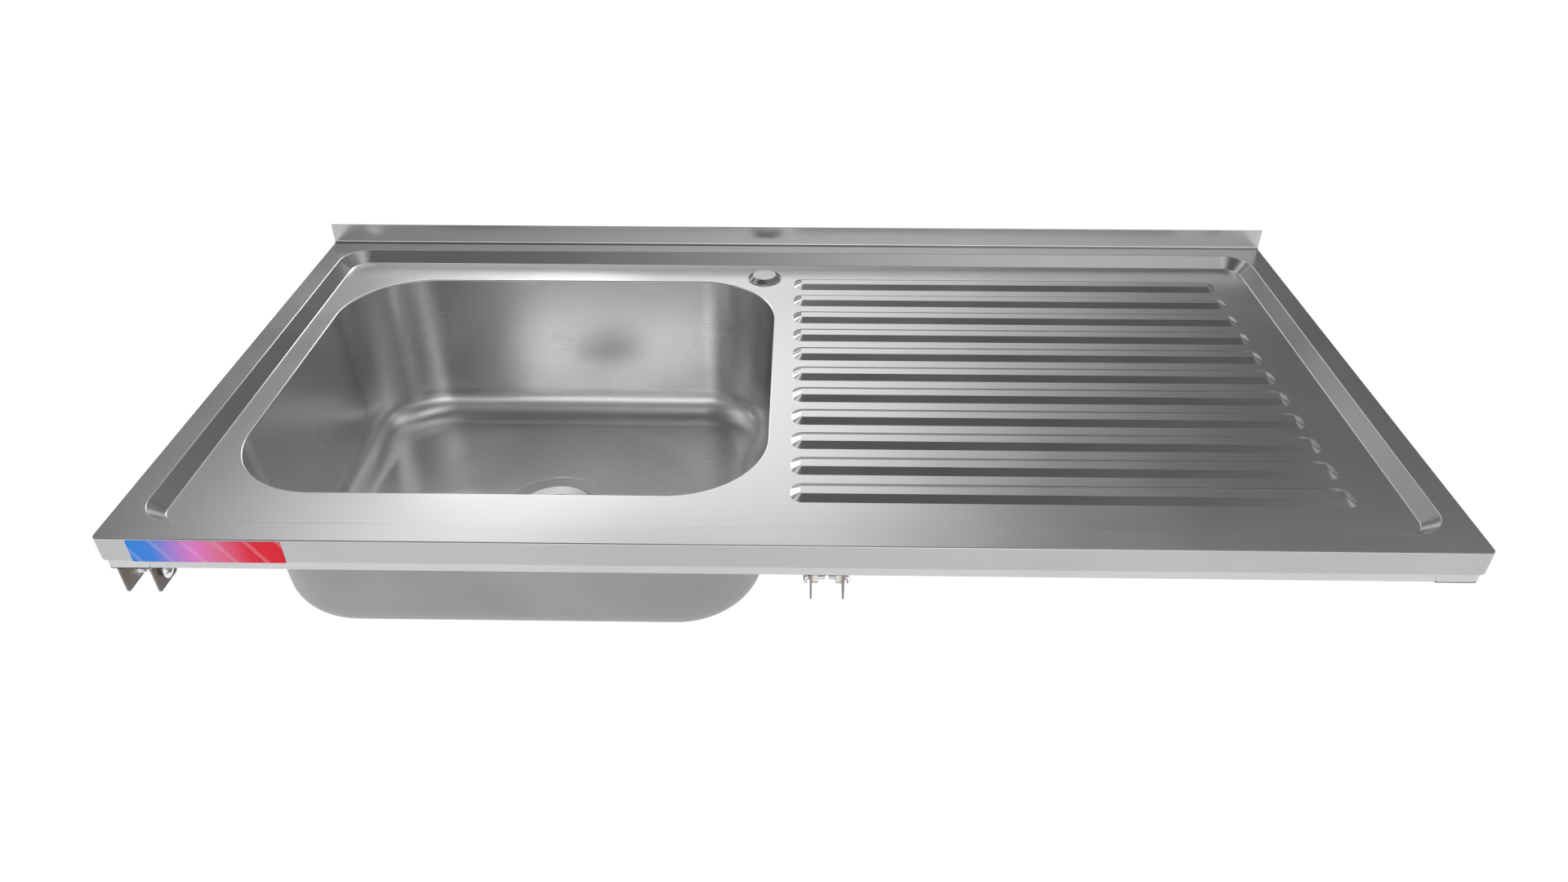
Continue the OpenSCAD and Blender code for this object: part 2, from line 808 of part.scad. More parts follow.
// Knob on top of the post
module stopper_knob() {
    color(chrome) at_waste() translate([0, 0, pan_z - seat_step - knob_h]) {
        cylinder(h = knob_h / 2, r = knob_neck_r);
        translate([0, 0, knob_h / 2]) cylinder(h = knob_h / 2, r1 = knob_r, r2 = knob_r - over);
    }
}

// Thin label with round corners on the apron
module label() {
    color("#7f7dff")
        translate([
            label_left + label_w / 2 - edge_x,
            front_y - label_t / 2,
            rim_z - label_drop - label_h / 2
        ])
            along_y(label_t) round_rect([label_w, label_h], label_r);
}

worktop_sheet();
bowl();
front_rail();
rear_rail();
left_rail();
right_rail();
mid_rail();
drainboard_stiffener(stiff_shares[0]);  // drainboard_stiffener_left
drainboard_stiffener(stiff_shares[1]);  // drainboard_stiffener_right
leg_bracket(left_front);  // leg_bracket_left_front
leg_bracket(left_rear);  // leg_bracket_left_rear
leg_bracket(mid_front);  // leg_bracket_mid_front
leg_bracket(mid_rear);  // leg_bracket_mid_rear
weld_nuts();
leg_screw(left_front, -1);  // leg_screw_left_front_a
leg_screw(left_front, 1);  // leg_screw_left_front_b
leg_screw(left_rear, -1);  // leg_screw_left_rear_a
leg_screw(left_rear, 1);  // leg_screw_left_rear_b
leg_screw(mid_front, -1);  // leg_screw_mid_front_a
leg_screw(mid_front, 1);  // leg_screw_mid_front_b
leg_screw(mid_rear, -1);  // leg_screw_mid_rear_a
leg_screw(mid_rear, 1);  // leg_screw_mid_rear_b
lock_washer(left_front, -1);  // lock_washer_left_front_a
lock_washer(left_front, 1);  // lock_washer_left_front_b
lock_washer(left_rear, -1);  // lock_washer_left_rear_a
lock_washer(left_rear, 1);  // lock_washer_left_rear_b
lock_washer(mid_front, -1);  // lock_washer_mid_front_a
lock_washer(mid_front, 1);  // lock_washer_mid_front_b
lock_washer(mid_rear, -1);  // lock_washer_mid_rear_a
lock_washer(mid_rear, 1);  // lock_washer_mid_rear_b
tap_plug_cap();
tap_plug_clip();
tap_plug_seal();
strainer_body();
flange_gasket();
under_gasket();
slip_ring();
lock_nut();
tail_nut();
tail_gasket();
tailpiece();
basket();
stopper_post();
stopper_seal();
stopper_knob();
label();
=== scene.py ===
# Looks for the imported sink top: every shape below is made in millimetres in the frame's own axes.
import math

import bpy
import numpy as np
from mathutils import Matrix, Vector
from mathutils.geometry import delaunay_2d_cdt


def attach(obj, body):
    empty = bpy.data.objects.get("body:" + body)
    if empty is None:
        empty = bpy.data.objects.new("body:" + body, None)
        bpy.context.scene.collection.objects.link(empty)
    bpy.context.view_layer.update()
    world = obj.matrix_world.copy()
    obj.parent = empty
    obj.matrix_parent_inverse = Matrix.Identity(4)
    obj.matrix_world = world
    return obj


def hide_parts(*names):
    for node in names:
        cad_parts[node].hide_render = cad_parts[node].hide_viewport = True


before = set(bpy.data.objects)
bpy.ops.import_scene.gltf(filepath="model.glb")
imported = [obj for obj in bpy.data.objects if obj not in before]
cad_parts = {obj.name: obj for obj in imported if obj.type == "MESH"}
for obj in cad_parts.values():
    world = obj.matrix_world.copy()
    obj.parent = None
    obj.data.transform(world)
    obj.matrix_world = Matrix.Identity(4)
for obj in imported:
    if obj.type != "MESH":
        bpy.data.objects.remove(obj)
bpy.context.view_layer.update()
MM = 0.001
EDGE_ROUND = 0.25

# Levels and edges, as in the solids
RIM, DECK, UNDER, SHEET = 43.5, 29.5, 28.3, 1.2
FRONT, WALL, EDGE = -25.5, 674.5, 700.0
RECESS_Y = 324.65
FOOT = (1313.0, 613.3, 23.0)
BOWL = (-327.2, RECESS_Y, 301.0, 252.0, 110.0)
FLOOR_Z = -191.0
RIB_X, RIB_L, RIB_W, RIB_PITCH, RIB_TOP = 303.6, 604.8, 34.0, 49.1, DECK + 4.5
TAP, TAP_R = (-42.3, 589.5), 17.5
MID_RAIL_X, SIDE_IN = 19.4, 653.5
CLAMP_DROP = 19.2
LEGS = {
    "left_front": (-674.5, 0.0),
    "left_rear": (-674.5, 649.0),
    "mid_front": (40.4, 0.0),
    "mid_rear": (40.4, 649.0),
}


# Meshes
class Lump:
    """Vertices, normals, faces and UVs of one piece."""

    def __init__(self):
        self.p, self.n, self.f, self.uv = [], [], [], []

    def add(self, points, normals, faces, uvs, m=None):
        base = len(self.p)
        if m is not None:
            points = [tuple(m @ Vector(p)) for p in points]
            turn = m.to_3x3()
            normals = [tuple(turn @ Vector(n)) for n in normals]
        self.p += [tuple(p) for p in points]
        self.n += [tuple(n) for n in normals]
        self.f += [tuple(base + i for i in f) for f in faces]
        self.uv += uvs
        return self

    def make(self, name, body, material, replaces=(), slot=None, sharp=None, under=None):
        mesh = bpy.data.meshes.new(name)
        mesh.from_pydata([tuple(c * MM for c in p) for p in self.p], [], self.f)
        mesh.update()
        layer = mesh.uv_layers.new(name="UVMap")
        flat = np.array([c * MM for face in self.uv for pair in face for c in pair], np.float32)
        layer.data.foreach_set("uv", flat)
        mesh.polygons.foreach_set("use_smooth", [True] * len(mesh.polygons))
        if sharp is None:
            mesh.normals_split_custom_set_from_vertices(self.n)
        else:
            mesh.set_sharp_from_angle(angle=math.radians(sharp))
        mesh.materials.append(material)
        if under:
            mesh.materials.append(under[0])
            for i in range(under[1], under[2]):
                mesh.polygons[i].material_index = 1
        obj = bpy.data.objects.new(name, mesh)
        bpy.context.scene.collection.objects.link(obj)
        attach(obj, body)
        if replaces:
            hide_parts(*replaces)
        return obj


def brush_x(points, centre, normal):
    """UVs brushed along X, or along Y on faces that look along X."""
    if abs(normal[0]) > 0.8:
        return [(p[1], p[2]) for p in points]
    way = 1 if normal[1] < 0 else -1
    return [(p[0], p[1] + way * p[2]) for p in points]


class Skin:
    """One side of a sheet, smooth all over, with exact normals."""

    def __init__(self):
        self.p, self.n, self.f, self.at = [], [], [], {}

    def vert(self, p, n):
        key = tuple(math.floor(c * 1000 + 0.37) for c in p)
        if key not in self.at:
            self.at[key] = len(self.p)
            self.p.append(tuple(float(c) for c in p))
            size = math.sqrt(sum(c * c for c in n)) or 1.0
            self.n.append(tuple(c / size for c in n))
        return self.at[key]

    def face(self, ids):
        ids = [v for k, v in enumerate(ids) if v != ids[k - 1]]
        if len(ids) < 3:
            return
        q = [np.array(self.p[i]) for i in ids]
        cross = np.cross(q[1] - q[0], q[2] - q[0]) if len(q) == 3 else np.cross(q[2] - q[0], q[3] - q[1])
        if np.linalg.norm(cross) < 1e-9:
            return
        if np.dot(cross, np.sum([self.n[i] for i in ids], axis=0)) < 0:
            ids = ids[::-1]
        self.f.append(tuple(ids))

    def grid(self, rows, closed=False):
        ids = [[self.vert(p, n) for p, n in row] for row in rows]
        for a, b in zip(ids, ids[1:]):
            for j in range(len(a) - (0 if closed else 1)):
                k = (j + 1) % len(a)
                self.face((a[j], a[k], b[k], b[j]))
        return ids

    def sweep(self, path, profile, closed=True):
        """Takes rows of outward distance, height and normal along a path of points and outward normals."""
        rows = []
        for u, z, a, b in profile:
            rows.append([((x + nx * u, y + ny * u, z), (nx * a, ny * a, b)) for x, y, nx, ny in path])
        return self.grid(rows, closed)

    def flat(self, z, outer, holes=()):
        """Fills a level area between closed loops."""
        loops = [list(outer)] + [list(h) for h in holes]
        points, edges = [], []
        for loop in loops:
            base = len(points)
            points += loop
            edges += [(base + i, base + (i + 1) % len(loop)) for i in range(len(loop))]
        ids = [self.vert((x, y, z), (0, 0, 1)) for x, y in points]
        out = delaunay_2d_cdt([Vector(p) for p in points], edges, [], 0, 1e-5, True)
        for tri in out[2]:
            own = [out[3][i][0] for i in tri]
            mid = np.mean([points[i] for i in own], axis=0)
            if inside(mid, loops[0]) and not any(inside(mid, h) for h in loops[1:]):
                self.face([ids[i] for i in own])

    def solid(self, t, uv=brush_x, edge=EDGE_ROUND):
        """The sheet with its thickness, and rounded cut edges."""
        p, n = np.array(self.p), np.array(self.n)
        count = len(p)
        points = [tuple(v) for v in p] + [tuple(v) for v in p - n * t]
        normals = [tuple(v) for v in n] + [tuple(-v) for v in n]
        faces = list(self.f) + [tuple(i + count for i in reversed(f)) for f in self.f]
        ways = {(f[k - 1], f[k]) for f in self.f for k in range(len(f))}
        rim = [(a, b) for a, b in ways if (b, a) not in ways]
        out = {}
        for a, b in rim:
            for v in (a, b):
                e = np.cross(p[b] - p[a], n[v])
                out[v] = out.get(v, 0) + e / (np.linalg.norm(e) or 1)
        more = {}
        for v in sorted(out):
            e = out[v] / (np.linalg.norm(out[v]) or 1)
            more[v] = len(points)
            points += [tuple(p[v] + (e - n[v]) * edge), tuple(p[v] + e * edge - n[v] * (t - edge))]
            normals += [tuple(e), tuple(e)]
        for a, b in sorted(rim):
            faces += [
                (b, a, more[a], more[b]),
                (more[b], more[a], more[a] + 1, more[b] + 1),
                (more[b] + 1, more[a] + 1, a + count, b + count),
            ]
        uvs = []
        for f in faces:
            q = [points[i] for i in f]
            flat_n = np.sum([normals[i] for i in f], axis=0)
            flat_n = flat_n / (np.linalg.norm(flat_n) or 1)
            uvs.append(uv(q, np.mean(q, axis=0), flat_n))
        return points, normals, faces, uvs


def inside(point, loop):
    x, y = point
    q = np.array(loop)
    r = np.roll(q, -1, axis=0)
    crosses = (q[:, 1] > y) != (r[:, 1] > y)
    q, r = q[crosses], r[crosses]
    if len(q) == 0:
        return False
    at = q[:, 0] + (y - q[:, 1]) / (r[:, 1] - q[:, 1]) * (r[:, 0] - q[:, 0])
    return int(np.sum(at > x)) % 2 == 1


def ring(cx, cy, hx, hy, r, n=16, between=0):
    """Rounded rectangle: points anticlockwise, each with its outward normal."""
    out = []
    signs = ((1, 1), (-1, 1), (-1, -1), (1, -1))
    for k, (sx, sy) in enumerate(signs):
        for i in range(n + 1):
            a = math.pi / 2 * (k + i / n)
            c, s = math.cos(a), math.sin(a)
            out.append((cx + sx * (hx - r) + r * c, cy + sy * (hy - r) + r * s, c, s))
        tx, ty = signs[(k + 1) % 4]
        a = math.pi / 2 * (k + 1)
        x0, y0 = out[-1][:2]
        x1 = cx + tx * (hx - r) + r * math.cos(a)
        y1 = cy + ty * (hy - r) + r * math.sin(a)
        for i in range(1, between + 1):
            s = i / (between + 1)
            out.append((x0 + (x1 - x0) * s, y0 + (y1 - y0) * s, math.cos(a), math.sin(a)))
    return out


def loop_at(path, u):
    return [(x + nx * u, y + ny * u) for x, y, nx, ny in path]


def polar(r, a, *z):
    return (r * math.cos(a), r * math.sin(a)) + z


def disc(x, y, r, n):
    return [(x + r * math.cos(2 * math.pi * j / n), y + r * math.sin(2 * math.pi * j / n)) for j in range(n)]


def level(r, n, z):
    """Points round a level circle."""
    return [polar(r, 2 * math.pi * j / n, z) for j in range(n)]


def bent(corners, radii, n=5, side=1, closed=False):
    """Polyline with rounded corners: rows of distance, height and normal, to the left for side 1."""
    pts = [np.array(c, float) for c in corners]
    rows = []
    for i, c in enumerate(pts):
        has_prev, has_next = closed or i > 0, closed or i < len(pts) - 1
        a = (c - pts[i - 1]) if has_prev else None
        b = (pts[(i + 1) % len(pts)] - c) if has_next else None
        a = a / np.linalg.norm(a) if has_prev else None
        b = b / np.linalg.norm(b) if has_next else None
        r = radii[i] if closed else (radii[i - 1] if has_prev and has_next else 0)
        if has_prev and has_next:
            turn = math.atan2(a[0] * b[1] - a[1] * b[0], float(np.dot(a, b)))
            way = 1 if turn > 0 else -1
            start = c - a * r * math.tan(abs(turn) / 2)
            middle = start + way * r * np.array((-a[1], a[0]))
            for k in range(n + 1):
                s, q = math.sin(turn * k / n), math.cos(turn * k / n)
                d = start - middle
                t = (a[0] * q - a[1] * s, a[0] * s + a[1] * q)
                at = (middle[0] + d[0] * q - d[1] * s, middle[1] + d[0] * s + d[1] * q)
                rows.append(at + (-t[1] * side, t[0] * side))
        else:
            t = b if has_next else a
            rows.append((c[0], c[1], -t[1] * side, t[0] * side))
    return rows


def lathe(lump, rows, m=None, n=64, closed=False):
    """Turns rows of radius, height and normal about Z. UVs run round the part, so brushing does too."""
    rows = list(rows) + ([rows[0]] if closed else [])
    points, normals, faces, uvs = [], [], [], []
    length = 0.0
    lengths = []
    for i, row in enumerate(rows):
        if i:
            length += math.dist(row[:2], rows[i - 1][:2])
        lengths.append(length)
        for j in range(n + 1):
            a = 2 * math.pi * j / n
            points.append((row[0] * math.cos(a), row[0] * math.sin(a), row[1]))
            normals.append((row[2] * math.cos(a), row[2] * math.sin(a), row[3]))
    for i in range(len(rows) - 1):
        for j in range(n):
            ids = [i * (n + 1) + j, i * (n + 1) + j + 1, (i + 1) * (n + 1) + j + 1, (i + 1) * (n + 1) + j]
            cells = [(j, lengths[i]), (j + 1, lengths[i]), (j + 1, lengths[i + 1]), (j, lengths[i + 1])]
            if rows[i][0] < 1e-6:
                ids, cells = ids[1:], cells[1:]
                ids, cells = [ids[1], ids[2], ids[0]], [cells[1], cells[2], cells[0]]
            elif rows[i + 1][0] < 1e-6:
                ids, cells = ids[:3], cells[:3]
            q = [np.array(points[k]) for k in ids]
            cross = np.cross(q[1] - q[0], q[2] - q[0])
            if np.linalg.norm(cross) < 1e-12:
                continue
            if np.dot(cross, np.sum([normals[k] for k in ids], axis=0)) < 0:
                ids, cells = ids[::-1], cells[::-1]
            faces.append(tuple(ids))
            uvs.append([(c[0] / n * 160.0, c[1]) for c in cells])
    lump.add(points, normals, faces, uvs, m)
    return lump


def out_of(leg, side):
    """Turns a shape made along +Z to point out of one side of a leg bracket."""
    x, y = LEGS[leg]
    return Matrix.Translation((x, y, -CLAMP_DROP)) @ Matrix.Rotation(side * math.pi / 2, 4, "Y")


# Materials
def colour(rgb):
    return (rgb[0], rgb[1], rgb[2], 1.0)


class Nodes:
    """Short hand for building one material's nodes."""

    def __init__(self, name):
        self.mat = bpy.data.materials.new(name)
        self.mat.use_nodes = True
        self.tree = self.mat.node_tree
        self.tree.nodes.clear()
        self.out = self.node("ShaderNodeOutputMaterial")

    def node(self, kind, **values):
        made = self.tree.nodes.new(kind)
        for key, value in values.items():
            setattr(made, key, value)
        return made

    def link(self, a, b):
        self.tree.links.new(a, b)

    def math(self, op, a, b=0.5):
        made = self.node("ShaderNodeMath", operation=op)
        for k, v in enumerate((a, b)):
            if isinstance(v, (int, float)):
                made.inputs[k].default_value = v
            else:
                self.link(v, made.inputs[k])
        return made.outputs[0]

    def ramp(self, source, stops):
        made = self.node("ShaderNodeValToRGB")
        while len(made.color_ramp.elements) < len(stops):
            made.color_ramp.elements.new(0.5)
        for e, (at, value) in zip(made.color_ramp.elements, stops):
            e.position = at
            e.color = (value, value, value, 1) if isinstance(value, (int, float)) else colour(value)
        self.link(source, made.inputs[0])
        return made.outputs[0]

    def noise(self, vector, scale, detail=3.0, rough=0.5):
        made = self.node("ShaderNodeTexNoise")
        made.inputs["Scale"].default_value = scale
        made.inputs["Detail"].default_value = detail
        made.inputs["Roughness"].default_value = rough
        self.link(vector, made.inputs["Vector"])
        return made.outputs[0]

    def scaled(self, vector, scale):
        made = self.node("ShaderNodeMapping")
        made.inputs["Scale"].default_value = scale
        self.link(vector, made.inputs["Vector"])
        return made.outputs[0]

    def mix(self, factor, a, b, kind="MIX"):
        made = self.node("ShaderNodeMix", data_type="RGBA", blend_type=kind)
        if isinstance(factor, (int, float)):
            made.inputs[0].default_value = factor
        else:
            self.link(factor, made.inputs[0])
        for k, v in ((6, a), (7, b)):
            if isinstance(v, tuple):
                made.inputs[k].default_value = colour(v)
            else:
                self.link(v, made.inputs[k])
        return made.outputs[2]

    def bump(self, height, strength, distance, normal=None):
        made = self.node("ShaderNodeBump")
        made.inputs["Strength"].default_value = strength
        made.inputs["Distance"].default_value = distance
        self.link(height, made.inputs["Height"])
        if normal is not None:
            self.link(normal, made.inputs["Normal"])
        return made.outputs[0]

    def shader(self, **values):
        made = self.node("ShaderNodeBsdfPrincipled")
        for key, value in values.items():
            socket = made.inputs[key.replace("_", " ")]
            if hasattr(value, "is_linked"):
                self.link(value, socket)
            else:
                socket.default_value = value
        self.link(made.outputs[0], self.out.inputs[0])
        return made


def brushed(name, base, rough, aniso=0.0, brush=1.0, marks=0.5):
    """Steel with fine lines along U, soft patches of wear, and a slight unevenness of the sheet."""
    k = Nodes(name)
    uv = k.node("ShaderNodeUVMap", uv_map="UVMap").outputs[0]
    place = k.node("ShaderNodeTexCoord").outputs["Object"]
    lines = k.noise(k.scaled(uv, (14.0, 2600.0, 1.0)), 1.0, 4.0, 0.65)
    broad = k.noise(k.scaled(uv, (3.0, 420.0, 1.0)), 1.0, 3.0, 0.6)
    wear = k.noise(place, 9.0, 1.0, 0.4)
    grain = k.math("ADD", k.math("MULTIPLY", lines, 0.8), k.math("MULTIPLY", broad, 0.2))
    shade = k.ramp(grain, [(0.25, 0.96), (0.75, 1.04)])
    tone = k.mix(1.0, base, shade, "MULTIPLY")
    worn = k.ramp(wear, [(0.35, 1.0 - 0.06 * marks), (0.65, 1.0 + 0.06 * marks)])
    tone = k.mix(1.0, tone, worn, "MULTIPLY")
    spread = k.math("ADD", k.math("MULTIPLY", k.math("SUBTRACT", grain, 0.5), 0.09 * brush), rough)
    spread = k.math("ADD", spread, k.math("MULTIPLY", k.math("SUBTRACT", wear, 0.5), 0.16 * marks))
    height = k.bump(grain, 0.06 * brush, 0.0002)
    wave = k.noise(place, 4.0, 1.0, 0.4)
    normal = k.bump(wave, 0.01 * marks, 0.01, height)
    made = k.shader(Base_Color=tone, Metallic=1.0, Roughness=spread, Normal=normal, Anisotropic=aniso)
    if aniso:
        tangent = k.node("ShaderNodeTangent", direction_type="UV_MAP", uv_map="UVMap")
        k.link(tangent.outputs[0], made.inputs["Tangent"])
    return k.mat


def plated(name, base, rough, spots=0.3, dirt=(0.4, 0.4, 0.4)):
    """Plated or galvanised metal: fine pits, faint patches and slightly uneven shine."""
    k = Nodes(name)
    place = k.node("ShaderNodeTexCoord").outputs["Object"]
    fine = k.noise(place, 300.0, 4.0, 0.6)
    patch = k.noise(place, 36.0, 3.0, 0.55)
    tone = k.mix(k.ramp(patch, [(0.35, 0.0), (0.75, spots)]), base, dirt)
    tone = k.mix(1.0, tone, k.ramp(fine, [(0.3, 0.95), (0.7, 1.05)]), "MULTIPLY")
    spread = k.math("ADD", k.math("MULTIPLY", k.math("SUBTRACT", fine, 0.5), 0.2), rough)
    k.shader(Base_Color=tone, Metallic=1.0, Roughness=spread, Normal=k.bump(fine, 0.12, 0.0002))
    return k.mat


def moulded(name, base, rough, scale=900.0, strength=0.15, specular=0.4):
    """Moulded plastic, rubber or pressed fibre."""
    k = Nodes(name)
    place = k.node("ShaderNodeTexCoord").outputs["Object"]
    fine = k.noise(place, scale, 5.0, 0.6)
    patch = k.noise(place, 60.0, 3.0, 0.5)
    tone = k.mix(1.0, base, k.ramp(patch, [(0.3, 0.88), (0.7, 1.1)]), "MULTIPLY")
    tone = k.mix(1.0, tone, k.ramp(fine, [(0.3, 0.9), (0.7, 1.08)]), "MULTIPLY")
    spread = k.math("ADD", k.math("MULTIPLY", k.math("SUBTRACT", fine, 0.5), 0.25), rough)
    made = k.shader(Base_Color=tone, Roughness=spread, Normal=k.bump(fine, strength, 0.0003))
    made.inputs["Specular IOR Level"].default_value = specular
    return k.mat


top_steel = brushed("worktop_steel", (0.50, 0.50, 0.51), 0.22, aniso=0.25)
# Bowl inside: the worktop's steel with its base colour painted lighter, as painted light on the bowl's walls
bowl_steel = brushed("bowl_steel", (0.72, 0.725, 0.72), 0.26, aniso=0.0, brush=0.35)
# Bowl underside: the rougher, unbrushed finish is real; its base colour is painted darker, as painted shade
# on the underside
drawn_steel_painted_shade = brushed("drawn_steel_painted_shade", (0.335, 0.335, 0.34), 0.40, aniso=0.0, brush=0.8, marks=1.1)
rail_steel = brushed("frame_steel", (0.62, 0.62, 0.63), 0.33, aniso=0.2)
bracket_zinc = plated("bracket_zinc", (0.34, 0.32, 0.31), 0.42, 0.5, dirt=(0.22, 0.18, 0.16))
nut_zinc = plated("nut_zinc", (0.55, 0.54, 0.50), 0.32, 0.5, dirt=(0.36, 0.32, 0.24))
washer_zinc = plated("washer_zinc", (0.58, 0.58, 0.56), 0.28, 0.3)
screw_chrome = plated("screw_chrome", (0.82, 0.82, 0.83), 0.12, 0.1)
plug_chrome = brushed("plug_chrome", (0.38, 0.38, 0.39), 0.2, aniso=0.4, brush=0.6, marks=0.2)
strainer_steel = brushed("strainer_steel", (0.60, 0.605, 0.60), 0.30, aniso=0.3, brush=0.5, marks=0.3)
knob_chrome = plated("knob_chrome", (0.78, 0.78, 0.79), 0.14, 0.1)
nut_metal = plated("waste_nut_metal", (0.62, 0.62, 0.62), 0.25, 0.3)
tail_chrome = plated("tail_chrome", (0.80, 0.80, 0.81), 0.10, 0.1)
nylon = moulded("clip_nylon", (0.80, 0.79, 0.74), 0.45)
rubber = moulded("seal_rubber", (0.03, 0.03, 0.032), 0.6, strength=0.3, specular=0.3)
fibre = moulded("ring_fibre", (0.42, 0.28, 0.13), 0.85, scale=500.0, strength=0.5, specular=0.2)


def label_film():
    """Printed film: a run of colour from blue to red, with thin slanted paler bars."""
    k = Nodes("label_film")
    place = k.node("ShaderNodeTexCoord").outputs["Object"]
    split = k.node("ShaderNodeSeparateXYZ")
    k.link(place, split.inputs[0])
    x, z = split.outputs[0], split.outputs[2]
    along = k.math("DIVIDE", k.math("ADD", x, 0.6654), 0.1568)
    tone = k.ramp(
        along,
        [
            (0.0, (0.03, 0.32, 1.0)),
            (0.16, (0.09, 0.32, 1.0)),
            (0.42, (1.0, 0.28, 0.80)),
            (0.56, (1.0, 0.24, 0.45)),
            (0.78, (1.0, 0.035, 0.07)),
            (1.0, (1.0, 0.02, 0.045)),
        ],
    )
    slant = k.math("ADD", x, k.math("MULTIPLY", z, 0.6))
    wave = k.math("FRACT", k.math("MULTIPLY", slant, 31.0))
    bar = k.math("MULTIPLY", k.math("GREATER_THAN", wave, 0.84), 0.22)
    tone = k.mix(bar, tone, (0.95, 0.72, 0.85))
    fine = k.noise(place, 2500.0, 2.0)
    made = k.shader(Base_Color=tone, Roughness=0.4, Normal=k.bump(fine, 0.05, 0.0001))
    made.inputs["Specular IOR Level"].default_value = 0.2
    return k.mat


label_print = label_film()

# Worktop
RIM_R, SPLASH_R, MOUTH_R = 1.6, 2.5, 2.0
SPLASH_TOP = 72.3
corner = 7.0
splash_y = WALL - SHEET - SPLASH_R
outline = [(-EDGE, WALL - EDGE_ROUND, -1.0, 0.0), (-EDGE, splash_y, -1.0, 0.0)]
for a in np.linspace(0, math.pi / 2, 13):
    c, s = math.cos(a), math.sin(a)
    outline.append((-EDGE + corner - corner * c, FRONT + corner - corner * s, -c, -s))
for a in np.linspace(0, math.pi / 2, 13):
    c, s = math.cos(a), math.sin(a)
    outline.append((EDGE - corner + corner * s, FRONT + corner - corner * c, s, -c))
outline += [(EDGE, splash_y, 1.0, 0.0), (EDGE, WALL - EDGE_ROUND, 1.0, 0.0)]

top = Skin()
apron_low = RIM - 30
apron = bent([(-10, RIM), (0, RIM), (0, apron_low), (-4.2 + EDGE_ROUND, apron_low)], (RIM_R, 2.5))[1:]
top.sweep(outline, apron, closed=False)

foot = ring(0, RECESS_Y, FOOT[0] / 2, FOOT[1] / 2, FOOT[2], 20)
slope = bent([(-12, DECK), (0, DECK), (15, RIM), (27, RIM)], (2.0, 1.5))[1:-1]
top.sweep(foot, slope)
top.flat(RIM, loop_at(outline[1:-1], -RIM_R), [loop_at(foot, slope[-1][0])])

rib_rows = [
    (-d, z, -a, b)
    for d, z, a, b in bent([(-4, DECK), (0, DECK), (10.6, RIB_TOP), (12.2, RIB_TOP)], (1.3, 1.0))[1:-1]
]
rib_paths = [
    ring(RIB_X, RECESS_Y + (i - 5) * RIB_PITCH, RIB_L / 2, RIB_W / 2, 13.0, 10) for i in range(11)
]
mouth = ring(*BOWL, 32)
mouth_rows = bent([(8, DECK), (0, DECK), (0, DECK - 8)], (MOUTH_R,), side=-1)[1:-1]
tap_loop = disc(TAP[0], TAP[1], TAP_R, 48)
top.sweep(mouth, mouth_rows)
for path in rib_paths:
    top.sweep(path, rib_rows)
    top.flat(RIB_TOP, loop_at(path, rib_rows[-1][0]))
top.flat(
    DECK,
    loop_at(foot, slope[0][0]),
    [loop_at(mouth, mouth_rows[0][0]), tap_loop] + [loop_at(path, rib_rows[0][0]) for path in rib_paths],
)
back_y = WALL - SHEET
splash = bent([(splash_y - 5, RIM), (back_y, RIM), (back_y, SPLASH_TOP - EDGE_ROUND)], (SPLASH_R,))[1:]
ends = (-EDGE + EDGE_ROUND, -EDGE + RIM_R, EDGE - RIM_R, EDGE - EDGE_ROUND)
top.grid([[((x, y, z), (0, a, b)) for x in ends] for y, z, a, b in splash])
Lump().add(*top.solid(SHEET)).make("worktop_skin", "sink", top_steel, ("worktop_sheet",), "worktop_steel")

# Bowl
bowl = Skin()
edge_path = ring(*BOWL, 32, between=12)
wall_rows = bent([(-0.03, DECK - MOUTH_R), (-9.0, FLOOR_Z), (-90, FLOOR_Z)], (44.0,), n=18, side=-1)[:-1]
rows = bowl.sweep(edge_path, wall_rows)
cx, cy = BOWL[:2]
dish = bent(
    [
        (230, FLOOR_Z),
        (199, FLOOR_Z),
        (77.2, FLOOR_Z - 5.5),
        (76.7, FLOOR_Z - 6.3),
        (58.1, FLOOR_Z - 6.3),
        (57.5, FLOOR_Z - 8.5),
        (47, FLOOR_Z - 11.1),
        (45, FLOOR_Z - 11.1),
    ],
    (260, 0.5, 0.5, 0.5, 0.4, 0.3),
    side=-1,
)[1:]
edge_xy = [bowl.p[i][:2] for i in rows[-1]]
angles = [math.atan2(y - cy, x - cx) for x, y in edge_xy]
start_r = dish[0][0]
floor_rows = []
for s in (0.0, 0.3, 0.65):
    row = []
    for (x, y), a in zip(edge_xy, angles):
        to_x, to_y = cx + start_r * math.cos(a), cy + start_r * math.sin(a)
        row.append(((x + (to_x - x) * s, y + (to_y - y) * s, FLOOR_Z), (0, 0, 1)))
    floor_rows.append(row)
for r, z, nr, nz in dish:
    row = []
    for a in angles:
        row.append(((cx + r * math.cos(a), cy + r * math.sin(a), z), polar(nr, a, nz)))
    floor_rows.append(row)
bowl.grid(floor_rows, closed=True)


def brush_bowl(points, centre, normal):
    """UVs brushed level along the walls, and along X on the floor."""
    if abs(normal[2]) > 0.86:
        return [(p[0], p[1]) for p in points]
    x, y = centre[0] - cx, centre[1] - cy
    inner_x, inner_y = BOWL[2] - BOWL[4], BOWL[3] - BOWL[4]
    if abs(x) > inner_x and abs(y) > inner_y:
        ax, ay = cx + math.copysign(inner_x, x), cy + math.copysign(inner_y, y)
        return [(BOWL[4] * math.atan2(p[1] - ay, p[0] - ax), p[2]) for p in points]
    if abs(x) > inner_x:
        return [(p[1], p[2]) for p in points]
    return [(p[0], p[2]) for p in points]


